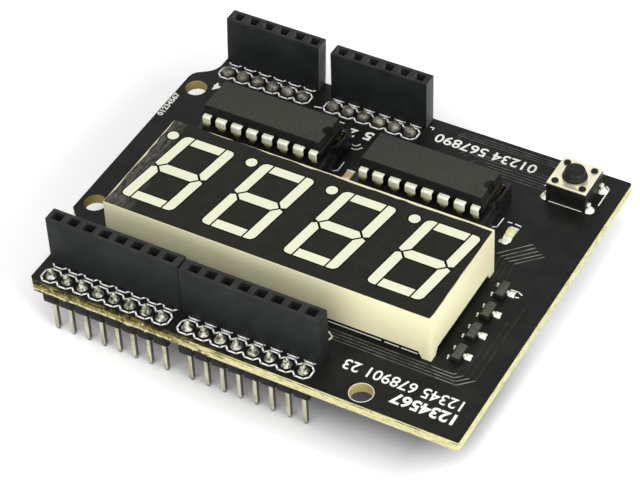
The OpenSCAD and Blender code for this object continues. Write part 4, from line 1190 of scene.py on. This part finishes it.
printing()
trackPiece("copperTracks", plainTracks, "trace")
trackPiece("glintTracks", brightTracks, "brightTrace")
trackPiece("dimTracks", faintTracks, "faintTrace")
bpy.data.objects.remove(strokePattern)
print("printing and tracks done")


# stage, light and camera

# the two darker floor tones are painted shadows under the board, the paler one beyond the right edge painted
# light
stageLook = {"floor": 0.80, "seenFloor": 1.25, "glow": 0.04, "world": 0.32, "underShadow": 0.45,
             "deepShadow": 0.04, "rightLitFloor": 1.5}
# where the floor's painted shadows, and its painted light beyond the right edge, begin and are full, in
# millimetres from the board's near, right and left edges
floorShade = {"near": (-7, 7.5), "far": (32, 18), "deep": (3.5, 11), "right": (-1, -9), "left": (-6, 34),
              "beyond": (-6, 0)}


def makeFloor():
    look = stageLook
    deselectAll()
    bpy.ops.mesh.primitive_plane_add(size=3, location=(0, 0, 0))
    floor = named("floor")
    material, tree, shader = startMaterial("paleFloor", grey(look["floor"]), 0.9, specular=0.1)
    here = placeOn(tree)
    near, far, deep = [
        mappedRange(tree, here["Y"], *[boardLow.y + y * mm for y in floorShade[name]])
        for name in ("near", "far", "deep")]
    right, beyond, left = [
        mappedRange(tree, here["X"], *[edge + x * mm for x in floorShade[name]])
        for name, edge in (("right", boardHigh.x), ("beyond", boardHigh.x), ("left", boardLow.x))]
    # where it is looked at the floor is paler, so that only the close shadow under the near edge stays: a
    # painted shadow, darker deeper under the board, with painted light beyond the right edge
    under = reckoned(tree, reckoned(tree, near, far), reckoned(tree, right, left))
    tone = blended(tree, beyond, grey(look["seenFloor"]), grey(look["rightLitFloor"]))
    tone = blended(tree, under, tone, grey(look["underShadow"]))
    tone = blended(tree, reckoned(tree, under, deep), tone, grey(look["deepShadow"]))
    path = addNode(tree, "LightPath").outputs
    seen = reckoned(tree, path["Is Camera Ray"], path["Is Glossy Ray"], "MAXIMUM")
    tree.links.new(blended(tree, seen, grey(look["floor"]), tone), shader.inputs["Base Color"])
    glow = addNode(tree, "Emission", {"Color": (1, 1, 1, 1), "Strength": reckoned(tree, seen, look["glow"])})
    both = addNode(tree, "AddShader", {0: shader.outputs[0], 1: glow.outputs[0]})
    tree.links.new(both.outputs[0], tree.nodes["Material Output"].inputs["Surface"])
    floor.data.materials.append(material)


def makeWorld():
    # white where it is looked at or mirrored, and a softer light on everything else
    world = bpy.data.worlds.new("studio")
    bpy.context.scene.world = world
    world.use_nodes = True
    tree = world.node_tree
    path = addNode(tree, "LightPath").outputs
    seen = reckoned(tree, path["Is Camera Ray"], path["Is Transmission Ray"], "MAXIMUM")
    seen = reckoned(tree, seen, path["Is Glossy Ray"], "MAXIMUM")
    background = tree.nodes["Background"]
    background.inputs["Color"].default_value = (1, 1, 1, 1)
    tree.links.new(mappedRange(tree, seen, 0, 1, stageLook["world"], 1), background.inputs["Strength"])


lamps = {
    "high": {"place": (0.00, -0.24, 0.43), "size": 0.34, "power": 1.15},
    "right": {"place": (0.40, -0.11, 0.20), "size": 0.30, "power": 1.62},
    "near": {"place": (0.06, -0.45, 0.06), "size": 0.42, "power": 1.05},
}


def makeLamps():
    for name, lamp in lamps.items():
        deselectAll()
        bpy.ops.object.light_add(type="AREA", location=lamp["place"])
        light = bpy.context.object
        light.name = name
        light.data.size = lamp["size"]
        light.data.energy = lamp["power"]
        aim = Vector((0, 0, topZ)) - light.location
        light.rotation_euler = aim.to_track_quat("-Z", "Y").to_euler()


# azimuth and elevation in degrees, roll in radians, the target and distance in millimetres, focal in pixels
photoView = {"azimuth": 30.772, "elevation": 43.952, "roll": -0.05, "target": (32.941, 31.597),
             "distance": 347.852, "focal": 2519.991, "imageWidth": 640, "sensor": 36}


def makeCamera():
    view = photoView
    a, e = math.radians(view["azimuth"]), math.radians(view["elevation"])
    back = Vector((math.sin(a) * math.cos(e), -math.cos(a) * math.cos(e), math.sin(e)))
    deselectAll()
    bpy.ops.object.camera_add(location=spot(*view["target"]) + back * view["distance"] * mm)
    camera = bpy.context.object
    turn = (-back).to_track_quat("-Z", "Y").to_matrix() @ Matrix.Rotation(view["roll"], 3, "Z")
    camera.rotation_euler = turn.to_euler()
    camera.data.sensor_width = view["sensor"]
    camera.data.lens = view["focal"] / view["imageWidth"] * view["sensor"]
    camera.data.clip_start = 0.01
    camera.data.clip_end = 20
    bpy.context.scene.camera = camera


makeFloor()
makeWorld()
makeLamps()
makeCamera()
bpy.context.scene.view_settings.view_transform = "Standard"
print("stage, light and camera done")
